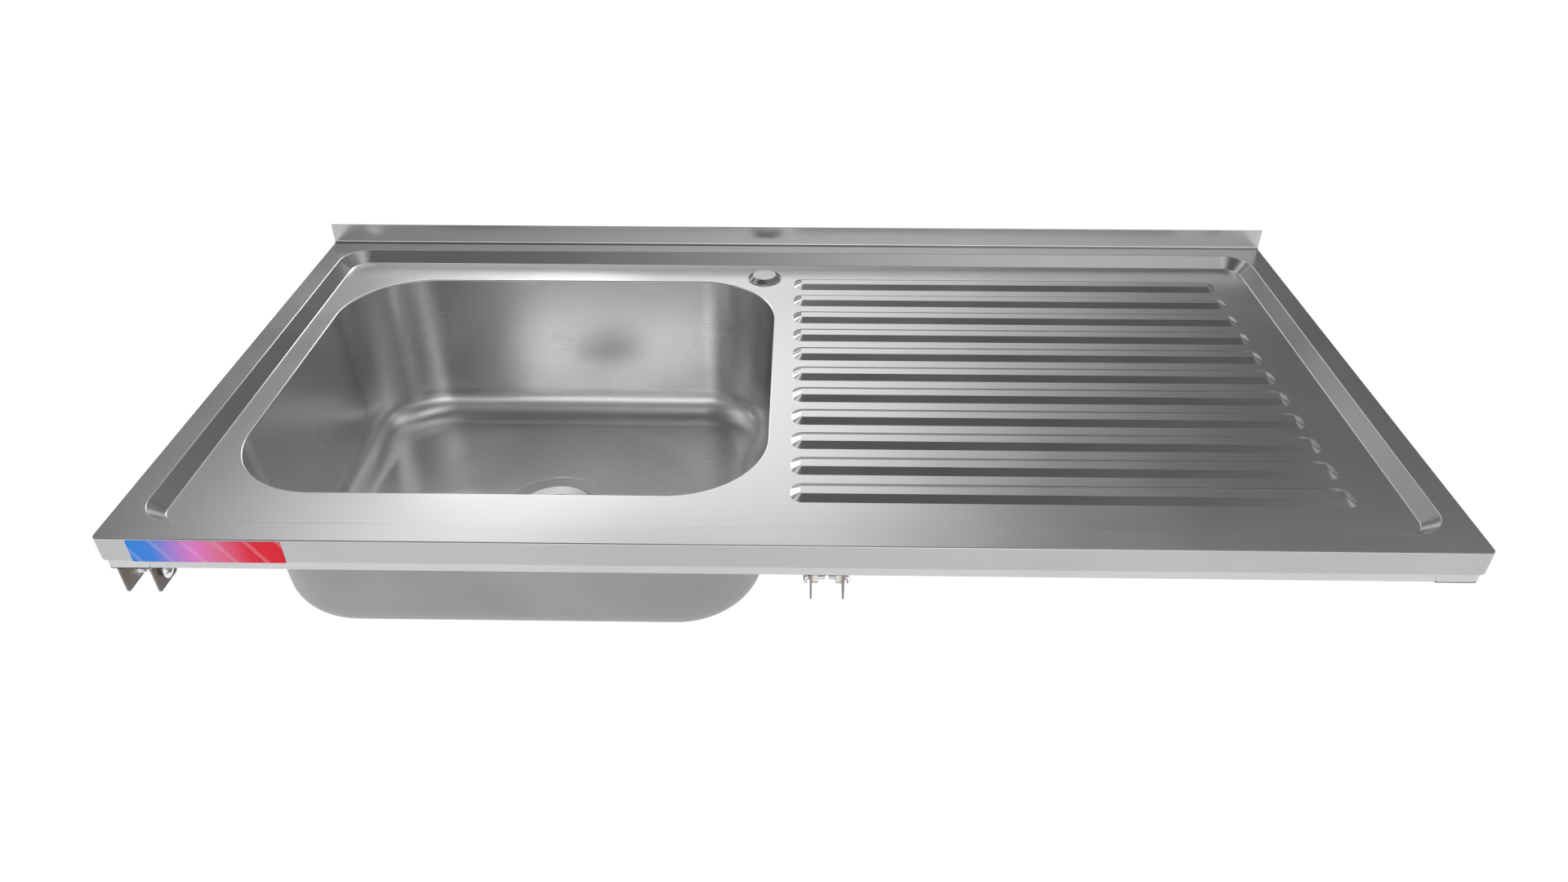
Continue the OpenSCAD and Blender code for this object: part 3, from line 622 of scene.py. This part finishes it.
bowl_lump = Lump().add(*bowl.solid(SHEET, brush_bowl))
bowl_faces = len(bowl.f)
lip = Skin()
lip_level = UNDER - 0.03
lip.sweep(edge_path, [(u, lip_level, 0, 1) for u in (1.0, 10 - EDGE_ROUND)])
bowl_lump.add(*lip.solid(SHEET - 0.1, brush_bowl))
# Inner faces take the steel painted lighter, and the underside takes the steel painted darker as shade
bowl_lump.make(
    "bowl_skin", "sink", bowl_steel, ("bowl",), "bowl_steel", under=(drawn_steel_painted_shade, bowl_faces, 2 * bowl_faces)
)

# Frame rails
RAIL_T, RAIL_W, RAIL_R = 1.5, 42.0, 2.6
INSET = 4.5


def trough(outer_h):
    return bent([(0, outer_h), (0, 0), (RAIL_W, 0), (RAIL_W, UNDER)], (RAIL_R, RAIL_R), side=-1)


def run(rows, place, turn, a, b):
    """Sweeps rows of distance and height straight from a to b."""
    skin = Skin()
    skin.grid([[(place(d, s, z), turn(nd, nz)) for s in (a, b)] for d, z, nd, nz in rows])
    return skin


def plate(lump, x0, x1, y, z0, z1, t, ny):
    """Upright plate facing along Y."""
    skin = Skin()
    c = EDGE_ROUND
    skin.grid([[((x, y, z), (0, ny, 0)) for x in (x0 + c, x1 - c)] for z in (z0 + c, z1 - c)])
    lump.add(*skin.solid(t))


top_h = RIM - SHEET - EDGE_ROUND
front_rows = trough(top_h)
for name, y0, way in (("front_rail", FRONT + INSET, 1), ("rear_rail", WALL - INSET, -1)):
    skin = run(
        front_rows,
        lambda d, s, z: (s, y0 + way * d, z),
        lambda nd, nz: (0, way * nd, nz),
        -SIDE_IN + EDGE_ROUND,
        SIDE_IN - EDGE_ROUND,
    )
    Lump().add(*skin.solid(RAIL_T)).make(name + "_skin", "sink", rail_steel, (name,), "frame_steel")
for name, way in (("left_rail", 1), ("right_rail", -1)):
    x0 = -way * (EDGE - INSET)
    skin = run(
        front_rows,
        lambda d, s, z: (x0 + way * d, s, z),
        lambda nd, nz: (way * nd, 0, nz),
        FRONT + INSET + EDGE_ROUND,
        WALL - INSET - EDGE_ROUND,
    )
    lump = Lump().add(*skin.solid(RAIL_T))
    xa, xb = sorted((x0, x0 + way * RAIL_W))
    plate(lump, xa, xb, FRONT + INSET, 0, RIM - SHEET, RAIL_T, -1)
    plate(lump, xa, xb, WALL - INSET, 0, RIM - SHEET, RAIL_T, 1)
    lump.make(name + "_skin", "sink", rail_steel, (name,), "frame_steel")
in_front, in_rear = FRONT + INSET + RAIL_W, WALL - INSET - RAIL_W
mid_rows = trough(UNDER)
skin = run(
    mid_rows,
    lambda d, s, z: (MID_RAIL_X + d, s, z),
    lambda nd, nz: (nd, 0, nz),
    in_front + EDGE_ROUND,
    in_rear - EDGE_ROUND,
)
Lump().add(*skin.solid(RAIL_T)).make("mid_rail_skin", "sink", rail_steel, ("mid_rail",), "frame_steel")
brim, crown = UNDER - 1.2, UNDER - 20
hat = bent(
    [(-29 + EDGE_ROUND, brim), (-15, brim), (-15, crown), (15, crown), (15, brim), (29 - EDGE_ROUND, brim)],
    (1.6, 2.2, 2.2, 1.6),
    side=-1,
)
bay = SIDE_IN - MID_RAIL_X - RAIL_W
for name, share in (("drainboard_stiffener_left", 1 / 3), ("drainboard_stiffener_right", 2 / 3)):
    x0 = MID_RAIL_X + RAIL_W + bay * share
    skin = run(
        hat,
        lambda d, s, z: (x0 + d, s, z),
        lambda nd, nz: (nd, 0, nz),
        in_front + EDGE_ROUND,
        in_rear - EDGE_ROUND,
    )
    Lump().add(*skin.solid(1.15)).make(name + "_skin", "sink", rail_steel, (name,), "frame_steel")

# Leg brackets
BR_W, BR_D, BR_H, BR_T, BR_R = 35.4, 36.6, 36.5, 2.0, 3.2
fold = bent([(-BR_W / 2, -BR_H), (-BR_W / 2, 0), (BR_W / 2, 0), (BR_W / 2, -BR_H)], (BR_R, BR_R))
fold_s = [0.0]
for p, q in zip(fold, fold[1:]):
    fold_s.append(fold_s[-1] + math.dist(p[:2], q[:2]))


def folded(s):
    """Point and normal of the bracket's outline at the length s along it."""
    s = min(max(s, 0.0), fold_s[-1])
    k = max(i for i, v in enumerate(fold_s[:-1]) if v <= s + 1e-9)
    w = (s - fold_s[k]) / (fold_s[k + 1] - fold_s[k])
    return [p + (q - p) * w for p, q in zip(fold[k], fold[k + 1])]


def bracket(name, x0, y0):
    c = EDGE_ROUND
    length, half, r = fold_s[-1] - c, BR_D / 2 - c, 3.5
    blank = [(x, y) for x, y, _, _ in ring((length + c) / 2, 0, (length - c) / 2, half, r, 6)]
    holes = []
    for at in (BR_H - CLAMP_DROP, length + c - BR_H + CLAMP_DROP):
        holes.append(disc(at, 0, 4.5 + c, 28))
    points, edges = [], []
    for loop in [blank] + holes:
        base = len(points)
        points += loop
        edges += [(base + i, base + (i + 1) % len(loop)) for i in range(len(loop))]
    for s in fold_s[1:-1]:
        edges.append((len(points), len(points) + 1))
        points += [(s, -half), (s, half)]
    out = delaunay_2d_cdt([Vector(p) for p in points], edges, [], 0, 1e-5, True)
    skin = Skin()
    for tri in out[2]:
        q = [out[0][i] for i in tri]
        mid = (sum(p[0] for p in q) / 3, sum(p[1] for p in q) / 3)
        if not inside(mid, blank) or any(inside(mid, h) for h in holes):
            continue
        ids = []
        for s, t in q:
            a, b, na, nb = folded(s)
            ids.append(skin.vert((x0 + a, y0 + t, b), (na, 0, nb)))
        skin.face(ids)
    lump = Lump().add(*skin.solid(BR_T, lambda pts, m, n: [(p[1], p[2] + p[0]) for p in pts]))
    lump.make(name + "_skin", "sink", bracket_zinc, (name,), "bracket_zinc")


for leg, (x0, y0) in LEGS.items():
    bracket("leg_bracket_" + leg, x0, y0)

# Nuts, screws and washers
def hexagon(a, flats):
    return flats / 2 / math.cos((a + math.pi / 6) % (math.pi / 3) - math.pi / 6)


def nut(lump, flats, h, bore, m):
    """Hexagon nut with bevelled corners and a plain round bore."""
    n = 72
    circle = flats / 2 * 1.03
    rows = []
    for kind in ("bore_low", "face_low", "low", "high", "face_high", "bore_high", "bore_low"):
        row = []
        for j in range(n):
            a = 2 * math.pi * j / n
            r = hexagon(a, flats)
            drop = max(r - circle, 0) * 0.55
            row.append(
                {
                    "bore_low": (bore, 0.0),
                    "face_low": (circle * 0.97, 0.0),
                    "low": (r, drop),
                    "high": (r, h - drop),
                    "face_high": (circle * 0.97, h),
                    "bore_high": (bore, h),
                }[kind]
                + (a,)
            )
        rows.append(row)
    points = [(r * math.cos(a), r * math.sin(a), z) for row in rows for r, z, a in row]
    faces, uvs = [], []
    for i in range(len(rows) - 1):
        for j in range(n):
            k = (j + 1) % n
            faces.append((i * n + j, i * n + k, (i + 1) * n + k, (i + 1) * n + j))
            uvs.append([(j, i), (j + 1, i), (j + 1, i + 1), (j, i + 1)])
    lump.add(points, [(0, 0, 1)] * len(points), faces, uvs, m)


nuts = Lump()
for leg in LEGS:
    for side in (-1, 1):
        nut(nuts, 13.0, 6.5, 4.1, out_of(leg, side) @ Matrix.Translation((0, 0, BR_W / 2 - BR_T - 6.5)))
nuts.make("weld_nuts_skin", "sink", nut_zinc, ("weld_nuts",), "nut_zinc", sharp=28)


def screw_mesh():
    """Slotted, domed head at z = 0 upwards and a threaded shank below, as plain points and faces."""
    head_d, head_h, rim = 19.0, 3.4, 0.8
    dome_h = head_h - rim
    dome_r = (head_d * head_d / 4 + dome_h * dome_h) / (2 * dome_h)
    n = 56
    section = [(0.0, 0.0), (head_d / 2, 0.0), (head_d / 2, rim)]
    reach = math.asin(head_d / 2 / dome_r)
    section += [
        (dome_r * math.sin(reach * (1 - s)), head_h - dome_r + dome_r * math.cos(reach * (1 - s)))
        for s in np.linspace(0, 1, 12)[1:-1]
    ]
    section.append((0.0, head_h))
    points, faces, rows = [], [], []
    for r, z in section:
        if r == 0:
            rows.append([len(points)] * n)
            points.append((0, 0, z))
        else:
            rows.append(list(range(len(points), len(points) + n)))
            points += level(r, n, z)
    for a, b in zip(rows, rows[1:]):
        for j in range(n):
            ids = [a[j], a[(j + 1) % n], b[(j + 1) % n], b[j]]
            faces.append(tuple(dict.fromkeys(ids)))
    mesh = bpy.data.meshes.new("screw_head_blank")
    mesh.from_pydata(points, [], faces)
    mesh.update()
    head = bpy.data.objects.new("screw_head_blank", mesh)
    box = bpy.data.meshes.new("slot_blank")
    w, l, z0, z1 = 0.8, 12.0, head_h - 1.5, head_h + 2
    corners = [(x, y, z) for x in (-w, w) for y in (-l, l) for z in (z0, z1)]
    sides = [(0, 1, 3, 2), (4, 6, 7, 5), (0, 4, 5, 1), (2, 3, 7, 6), (0, 2, 6, 4), (1, 5, 7, 3)]
    box.from_pydata(corners, [], sides)
    box.update()
    cutter = bpy.data.objects.new("slot_blank", box)
    for o in (head, cutter):
        bpy.context.scene.collection.objects.link(o)
    cut = head.modifiers.new("slot", "BOOLEAN")
    cut.operation, cut.solver, cut.object = "DIFFERENCE", "EXACT", cutter
    soft = head.modifiers.new("edges", "BEVEL")
    soft.width, soft.segments, soft.limit_method, soft.angle_limit = 0.14, 2, "ANGLE", math.radians(32)
    bpy.context.view_layer.update()
    done = bpy.data.meshes.new_from_object(head.evaluated_get(bpy.context.evaluated_depsgraph_get()))
    points = [tuple(v.co) for v in done.vertices]
    faces = [tuple(f.vertices) for f in done.polygons]
    for o in (head, cutter):
        bpy.data.objects.remove(o)
    pitch, length, major, minor = 1.25, 19.4, 4.0, 3.35
    per, around = 8, 28
    base = len(points)
    steps = int(length / pitch * per)
    for i in range(steps + 1):
        z = -length * i / steps
        tip = min(1.0, (z + length) / 0.8)
        for j in range(around):
            s = (-z / pitch + j / around) % 1.0
            wave = min(1.0, max(0.0, 1.6 * abs(2 * s - 1) - 0.3))
            r = (minor + (major - minor) * wave) * (0.8 + 0.2 * tip) if z < -1.5 else major * 0.98
            points.append(polar(r, 2 * math.pi * j / around, z))
    for i in range(steps):
        upper, lower = base + i * around, base + (i + 1) * around
        for j in range(around):
            k = (j + 1) % around
            faces.append((lower + k, lower + j, upper + j, upper + k))
    faces.append(tuple(base + steps * around + j for j in reversed(range(around))))
    return points, faces


screw_points, screw_faces = screw_mesh()


def washer(lump, m):
    """Lock washer with twelve twisted teeth."""
    r0, r1, r2, t, n = 4.3, 5.9, 7.45, 0.55, 12
    low = 0.175
    ring_rows = [(r0, low), (r1, low), (r1, low + t), (r0, low + t), (r0, low)]
    around = 72
    points, faces = [], []
    for r, z in ring_rows:
        points += level(r, around, z)
    for i in range(4):
        for j in range(around):
            k = (j + 1) % around
            faces.append((i * around + j, i * around + k, (i + 1) * around + k, (i + 1) * around + j))
    for tooth in range(n):
        a0 = 2 * math.pi * tooth / n
        base = len(points)
        for r, twist, half in ((r1 - 0.4, 0.0, 0.17), ((r1 + r2) / 2, 0.6, 0.165), (r2, 1.0, 0.15)):
            for side in (-1, 1):
                a = a0 + side * half
                z = low + side * 0.17 * twist
                points.append((r * math.cos(a), r * math.sin(a), z))
                points.append((r * math.cos(a), r * math.sin(a), z + t))
        for i in range(2):
            p, q = base + 4 * i, base + 4 * (i + 1)
            faces += [(p, p + 2, q + 2, q), (p + 1, q + 1, q + 3, p + 3)]
            faces += [(p, q, q + 1, p + 1), (p + 2, p + 3, q + 3, q + 2)]
        q = base + 8
        faces.append((q, q + 2, q + 3, q + 1))
    uvs = [[(points[i][0], points[i][1]) for i in f] for f in faces]
    lump.add(points, [(0, 0, 1)] * len(points), faces, uvs, m)


for leg in LEGS:
    for side, letter in ((-1, "a"), (1, "b")):
        m = out_of(leg, side) @ Matrix.Translation((0, 0, BR_W / 2 + 3.7))
        uvs = [[(screw_points[i][0], screw_points[i][1]) for i in f] for f in screw_faces]
        screw, lock = f"leg_screw_{leg}_{letter}", f"lock_washer_{leg}_{letter}"
        Lump().add(screw_points, [(0, 0, 1)] * len(screw_points), screw_faces, uvs, m).make(
            screw + "_skin", screw, screw_chrome, (screw,), "screw_chrome", sharp=40
        )
        lump = Lump()
        washer(lump, m @ Matrix.Translation((0, 0, -0.9)))
        lump.make(lock + "_skin", lock, washer_zinc, (lock,), "washer_zinc", sharp=30)

# Tap plug
cap = bent(
    [
        (0, 6.0),
        (16.5, 6.0),
        (23.3, 1.2),
        (24.3, 1.2),
        (24.3, 0.02),
        (22.3, 0.02),
        (22.3, 0.6),
        (16.0, 5.0),
        (0, 5.0),
    ],
    (0.7, 0.35, 0.3, 0.2, 0.2, 0.2, 0.5),
    n=4,
)
lathe(Lump(), cap, Matrix.Translation((TAP[0], TAP[1], DECK)), 96).make(
    "tap_plug_cap_skin", "tap_plug", plug_chrome, ("tap_plug_cap",), "plug_chrome"
)

# Strainer, basket and stopper
PAN_Z, SEAT_R, LAND_R, SEAT_STEP, SEAT_FALL = FLOOR_Z - 6.3, 57.5, 47.0, 2.2, 2.6
FLANGE_R, GASKET_T, CUP_R, CUP_T, CUP_H = 57.0, 1.2, 44.0, 1.0, 42.0
STUB_R, STUB_WALL, STUB_L, GAP = 23.9, 2.5, 18.0, 0.3
BASKET_LIP_R, BASKET_R, BASKET_FOOT_R, BASKET_H, BASKET_T = 46.0, 41.6, 38.0, 27.0, 0.8
POST_R, HOLE_R, HOLE_RING_R, HOLE_RING_STEP, HOLE_RING_N = 4.0, 2.0, 12.0, 9.0, 10
KNOB_R, KNOB_NECK_R, KNOB_H, HOLDER_R, HOLDER_T, SEAL_T = 11.0, 6.0, 8.0, 18.0, 1.5, 3.0
waste = Matrix.Translation((BOWL[0], BOWL[1], 0))


def seat_z(r):
    return PAN_Z - SEAT_STEP - SEAT_FALL * (SEAT_R - r) / (SEAT_R - LAND_R)


def turned(name, body, material, corners, radii, slot, closed=False):
    """A turned piece over the waste hole, in place of the node of the same name."""
    made = lathe(Lump(), bent(corners, radii, n=4, closed=closed), waste, 96, closed)
    return made.make(name + "_skin", body, material, (name,), slot)


cup_floor = seat_z(LAND_R) - CUP_H
cup_in, stub_in = CUP_R - CUP_T, STUB_R - STUB_WALL
turned(
    "strainer_body",
    "sink",
    strainer_steel,
    [
        (cup_in, seat_z(cup_in) + GASKET_T + CUP_T),
        (FLANGE_R, seat_z(FLANGE_R) + GASKET_T + CUP_T),
        (FLANGE_R, seat_z(FLANGE_R) + GASKET_T),
        (CUP_R, seat_z(CUP_R) + GASKET_T),
        (CUP_R, cup_floor - CUP_T),
        (STUB_R, cup_floor - CUP_T),
        (STUB_R, cup_floor - STUB_L),
        (stub_in, cup_floor - STUB_L),
        (stub_in, cup_floor),
        (cup_in, cup_floor),
    ],
    (1.6, 0.3, 0.3, 0.6, 3.0, 0.8, 0.4, 0.4, 1.0, 2.2),
    "strainer_steel",
    closed=True,
)


def lip_z(r):
    return seat_z(r) + GASKET_T + CUP_T + GAP


basket_floor = lip_z(BASKET_R) - BASKET_H
basket = Skin()
turns = [2 * math.pi * j / 96 for j in range(96)]
wall = bent(
    [
        (BASKET_LIP_R - EDGE_ROUND, lip_z(BASKET_LIP_R) + BASKET_T),
        (BASKET_R - BASKET_T, lip_z(BASKET_R) + BASKET_T),
        (BASKET_FOOT_R - BASKET_T, basket_floor),
        (BASKET_FOOT_R - 4, basket_floor),
    ],
    (1.4, 2.4),
    side=-1,
)
basket.grid([[(polar(r, a, z), polar(nr, a, nz)) for a in turns] for r, z, nr, nz in wall], closed=True)


drains = [disc(0, 0, POST_R + 0.1 + EDGE_ROUND, 32)]
for ring_i in range(3):
    count = HOLE_RING_N + ring_i * HOLE_RING_N // 2
    far = HOLE_RING_R + ring_i * HOLE_RING_STEP
    for j in range(count):
        a = 2 * math.pi * j / count
        drains.append(disc(far * math.cos(a), far * math.sin(a), HOLE_R + EDGE_ROUND, 16))
basket.flat(basket_floor, disc(0, 0, wall[-1][0], 96), drains)


def brush_round(points, centre, normal):
    """UVs that run round the waste hole."""
    a0 = math.atan2(centre[1], centre[0])
    out = []
    for p in points:
        turn = (math.atan2(p[1], p[0]) - a0 + math.pi) % (2 * math.pi) - math.pi
        out.append(((a0 + turn) * 30.0, math.hypot(p[0], p[1]) + p[2]))
    return out


Lump().add(*basket.solid(BASKET_T, brush_round, 0.2), waste).make(
    "basket_skin", "basket", strainer_steel, ("basket",), "basket_steel"
)
post_z = cup_floor + GAP + SEAL_T
knob_z = PAN_Z - SEAT_STEP
knob_low, knob_waist = knob_z - KNOB_H, knob_z - KNOB_H / 2
turned(
    "stopper_post",
    "stopper",
    strainer_steel,
    [
        (0, knob_low),
        (POST_R, knob_low),
        (POST_R, post_z + HOLDER_T),
        (HOLDER_R, post_z + HOLDER_T),
        (HOLDER_R, post_z),
        (0, post_z),
    ],
    (0.1, 1.0, 0.4, 0.4),
    "basket_steel",
)
turned(
    "stopper_knob",
    "stopper",
    knob_chrome,
    [
        (0, knob_z),
        (KNOB_R - 2, knob_z),
        (KNOB_R, knob_waist),
        (KNOB_NECK_R, knob_waist),
        (KNOB_NECK_R, knob_low),
        (0, knob_low),
    ],
    (1.2, 0.6, 1.0, 0.3),
    "basket_steel",
)

# Label
label = Skin()
label_y = FRONT - 0.4
lx0, lx1, lz1 = -665.4, -508.6, RIM - 1.8
lz0 = lz1 - 27.8
half_x, half_z = (lx1 - lx0) / 2 - 0.1, (lz1 - lz0) / 2 - 0.1
label.flat(0.0, loop_at(ring((lx0 + lx1) / 2, (lz0 + lz1) / 2, half_x, half_z, 1.5, 8), 0))
label.p = [(x, label_y, z) for x, z, _ in label.p]
label.n = [(0.0, -1.0, 0.0)] * len(label.p)
for i, f in enumerate(label.f):
    one, two, three = (np.array(label.p[v]) for v in f)
    if np.cross(two - one, three - one)[1] >= 0:
        label.f[i] = f[::-1]
Lump().add(*label.solid(0.39, lambda pts, m, n: [(p[0], p[2]) for p in pts], 0.1)).make(
    "label_skin", "sink", label_print, ("label",), "label_film"
)

# Solids that stay, with their materials
stay = {
    "tap_plug_clip": nylon,
    "tap_plug_seal": rubber,
    "flange_gasket": rubber,
    "under_gasket": rubber,
    "slip_ring": fibre,
    "lock_nut": nut_metal,
    "tail_nut": nut_metal,
    "tail_gasket": rubber,
    "tailpiece": tail_chrome,
    "stopper_seal": rubber,
}
for name, material in stay.items():
    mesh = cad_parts[name].data
    mesh.materials.clear()
    mesh.materials.append(material)

# Stage
floor_z = -0.86
floor_mesh = bpy.data.meshes.new("floor")
size = 14.0
signs = ((-1, -1), (1, -1), (1, 1), (-1, 1))
floor_mesh.from_pydata([(x * size, y * size, floor_z) for x, y in signs], [], [(0, 1, 2, 3)])
floor_mesh.update()
k = Nodes("floor")
path = k.node("ShaderNodeLightPath")
seen = k.math("MAXIMUM", path.outputs["Is Camera Ray"], path.outputs["Is Glossy Ray"])
seen = k.math("MAXIMUM", seen, path.outputs["Is Transmission Ray"])
made = k.shader(Base_Color=(0.8, 0.8, 0.8, 1.0), Roughness=0.9)
made.inputs["Specular IOR Level"].default_value = 0.0
made.inputs["Emission Color"].default_value = (1, 1, 1, 1)
k.link(k.math("MULTIPLY", seen, 0.62), made.inputs["Emission Strength"])
floor_mesh.materials.append(k.mat)
floor = bpy.data.objects.new("floor", floor_mesh)
bpy.context.scene.collection.objects.link(floor)

# Light
world = bpy.data.worlds.new("studio")
bpy.context.scene.world = world
world.use_nodes = True
tree = world.node_tree
tree.nodes.clear()


def w_node(kind, **values):
    made = tree.nodes.new(kind)
    for key, value in values.items():
        setattr(made, key, value)
    return made


def w_math(op, a, b=0.0):
    made = w_node("ShaderNodeMath", operation=op)
    for i, v in enumerate((a, b)):
        if isinstance(v, (int, float)):
            made.inputs[i].default_value = v
        else:
            tree.links.new(v, made.inputs[i])
    return made.outputs[0]


direction = w_node("ShaderNodeTexCoord").outputs["Generated"]


def glow(azimuth, elevation, width, height, strength):
    """Soft patch of light in the studio's walls: azimuth from +Y towards +X, widths in degrees."""
    a, e = math.radians(azimuth), math.radians(elevation)
    way = (math.sin(a) * math.cos(e), math.cos(a) * math.cos(e), math.sin(e))
    right = (math.cos(a), -math.sin(a), 0.0)
    up = (-math.sin(a) * math.sin(e), -math.cos(a) * math.sin(e), math.cos(e))
    parts = []
    for axis in (way, right, up):
        dot = w_node("ShaderNodeVectorMath", operation="DOT_PRODUCT")
        tree.links.new(direction, dot.inputs[0])
        dot.inputs[1].default_value = axis
        parts.append(dot.outputs["Value"])
    along = w_math("MAXIMUM", parts[0], 0.0)
    sx = w_math("DIVIDE", parts[1], math.sin(math.radians(width)))
    sy = w_math("DIVIDE", parts[2], math.sin(math.radians(height)))
    spread = w_math("ADD", w_math("MULTIPLY", sx, sx), w_math("MULTIPLY", sy, sy))
    soft = w_math("EXPONENT", w_math("MULTIPLY", spread, -1.0))
    front = w_math("GREATER_THAN", along, 0.02)
    return w_math("MULTIPLY", w_math("MULTIPLY", soft, front), strength)


# Azimuth from +Y towards +X, elevation, half width, half height in degrees, and strength
glows = [
    (0, 30, 10, 7, 1.25),
    (-1, 39, 9, 6, 1.05),
    (-13, 30, 9, 7, 1.1),
    (-26, 39, 9, 6, 1.8),
    (13, 28, 9, 6, 0.45),
    (-25, 61, 30, 7, 1.9),
    (145, 66, 24, 10, 0.95),
    (172, 14, 44, 16, 1.3),
    (176, 23, 16, 8, 1.2),
    (80, 38, 16, 14, 0.8),
    (-105, 38, 16, 14, 0.6),
]
split = w_node("ShaderNodeSeparateXYZ")
tree.links.new(direction, split.inputs[0])
band = w_node("ShaderNodeMapRange", interpolation_type="SMOOTHSTEP")
tree.links.new(split.outputs[2], band.inputs["Value"])
for key, value in (("From Min", 0.08), ("From Max", 0.28), ("To Min", 1.0), ("To Max", 0.13)):
    band.inputs[key].default_value = value
total = band.outputs[0]
for item in glows:
    total = w_math("ADD", total, glow(*item))
back = w_node("ShaderNodeBackground")
tree.links.new(total, back.inputs["Strength"])
back.inputs["Color"].default_value = (1, 1, 1, 1)
tree.links.new(back.outputs[0], w_node("ShaderNodeOutputWorld").inputs[0])


def softbox(name, place, aim, width, height, radiance):
    """Area lamp at a place, turned to a point."""
    data = bpy.data.lights.new(name, "AREA")
    data.shape = "RECTANGLE"
    data.size, data.size_y = width, height
    data.energy = radiance * math.pi * width * height
    lamp = bpy.data.objects.new(name, data)
    lamp.location = place
    lamp.rotation_mode = "QUATERNION"
    lamp.rotation_quaternion = (Vector(place) - Vector(aim)).to_track_quat("Z", "Y")
    bpy.context.scene.collection.objects.link(lamp)


# Behind the bowl, where its own image in the deck would fall inside the mouth
softbox("bowl_light", (-0.70, 1.55, 0.80), (-0.33, 0.2, -0.1), 0.60, 0.34, 3.6)

# Camera
yaw, pitch, roll = math.radians(-0.916), math.radians(35.078), math.radians(0.011)
forward = Vector((math.sin(yaw) * math.cos(pitch), math.cos(yaw) * math.cos(pitch), -math.sin(pitch)))
right = Vector((math.cos(yaw), -math.sin(yaw), 0.0))
up = right.cross(forward)
camera_data = bpy.data.cameras.new("camera")
camera_data.lens, camera_data.sensor_width = 25.0, 36.0
camera_data.clip_start, camera_data.clip_end = 0.01, 100.0
camera = bpy.data.objects.new("camera", camera_data)
camera.matrix_world = Matrix.Translation((0.00922, -0.85025, 0.75014)) @ Matrix(
    (
        (right.x, up.x, -forward.x),
        (right.y, up.y, -forward.y),
        (right.z, up.z, -forward.z),
    )
).to_4x4() @ Matrix.Rotation(roll, 4, "Z")
bpy.context.scene.collection.objects.link(camera)
bpy.context.scene.camera = camera
bpy.context.scene.view_settings.view_transform = "Standard"
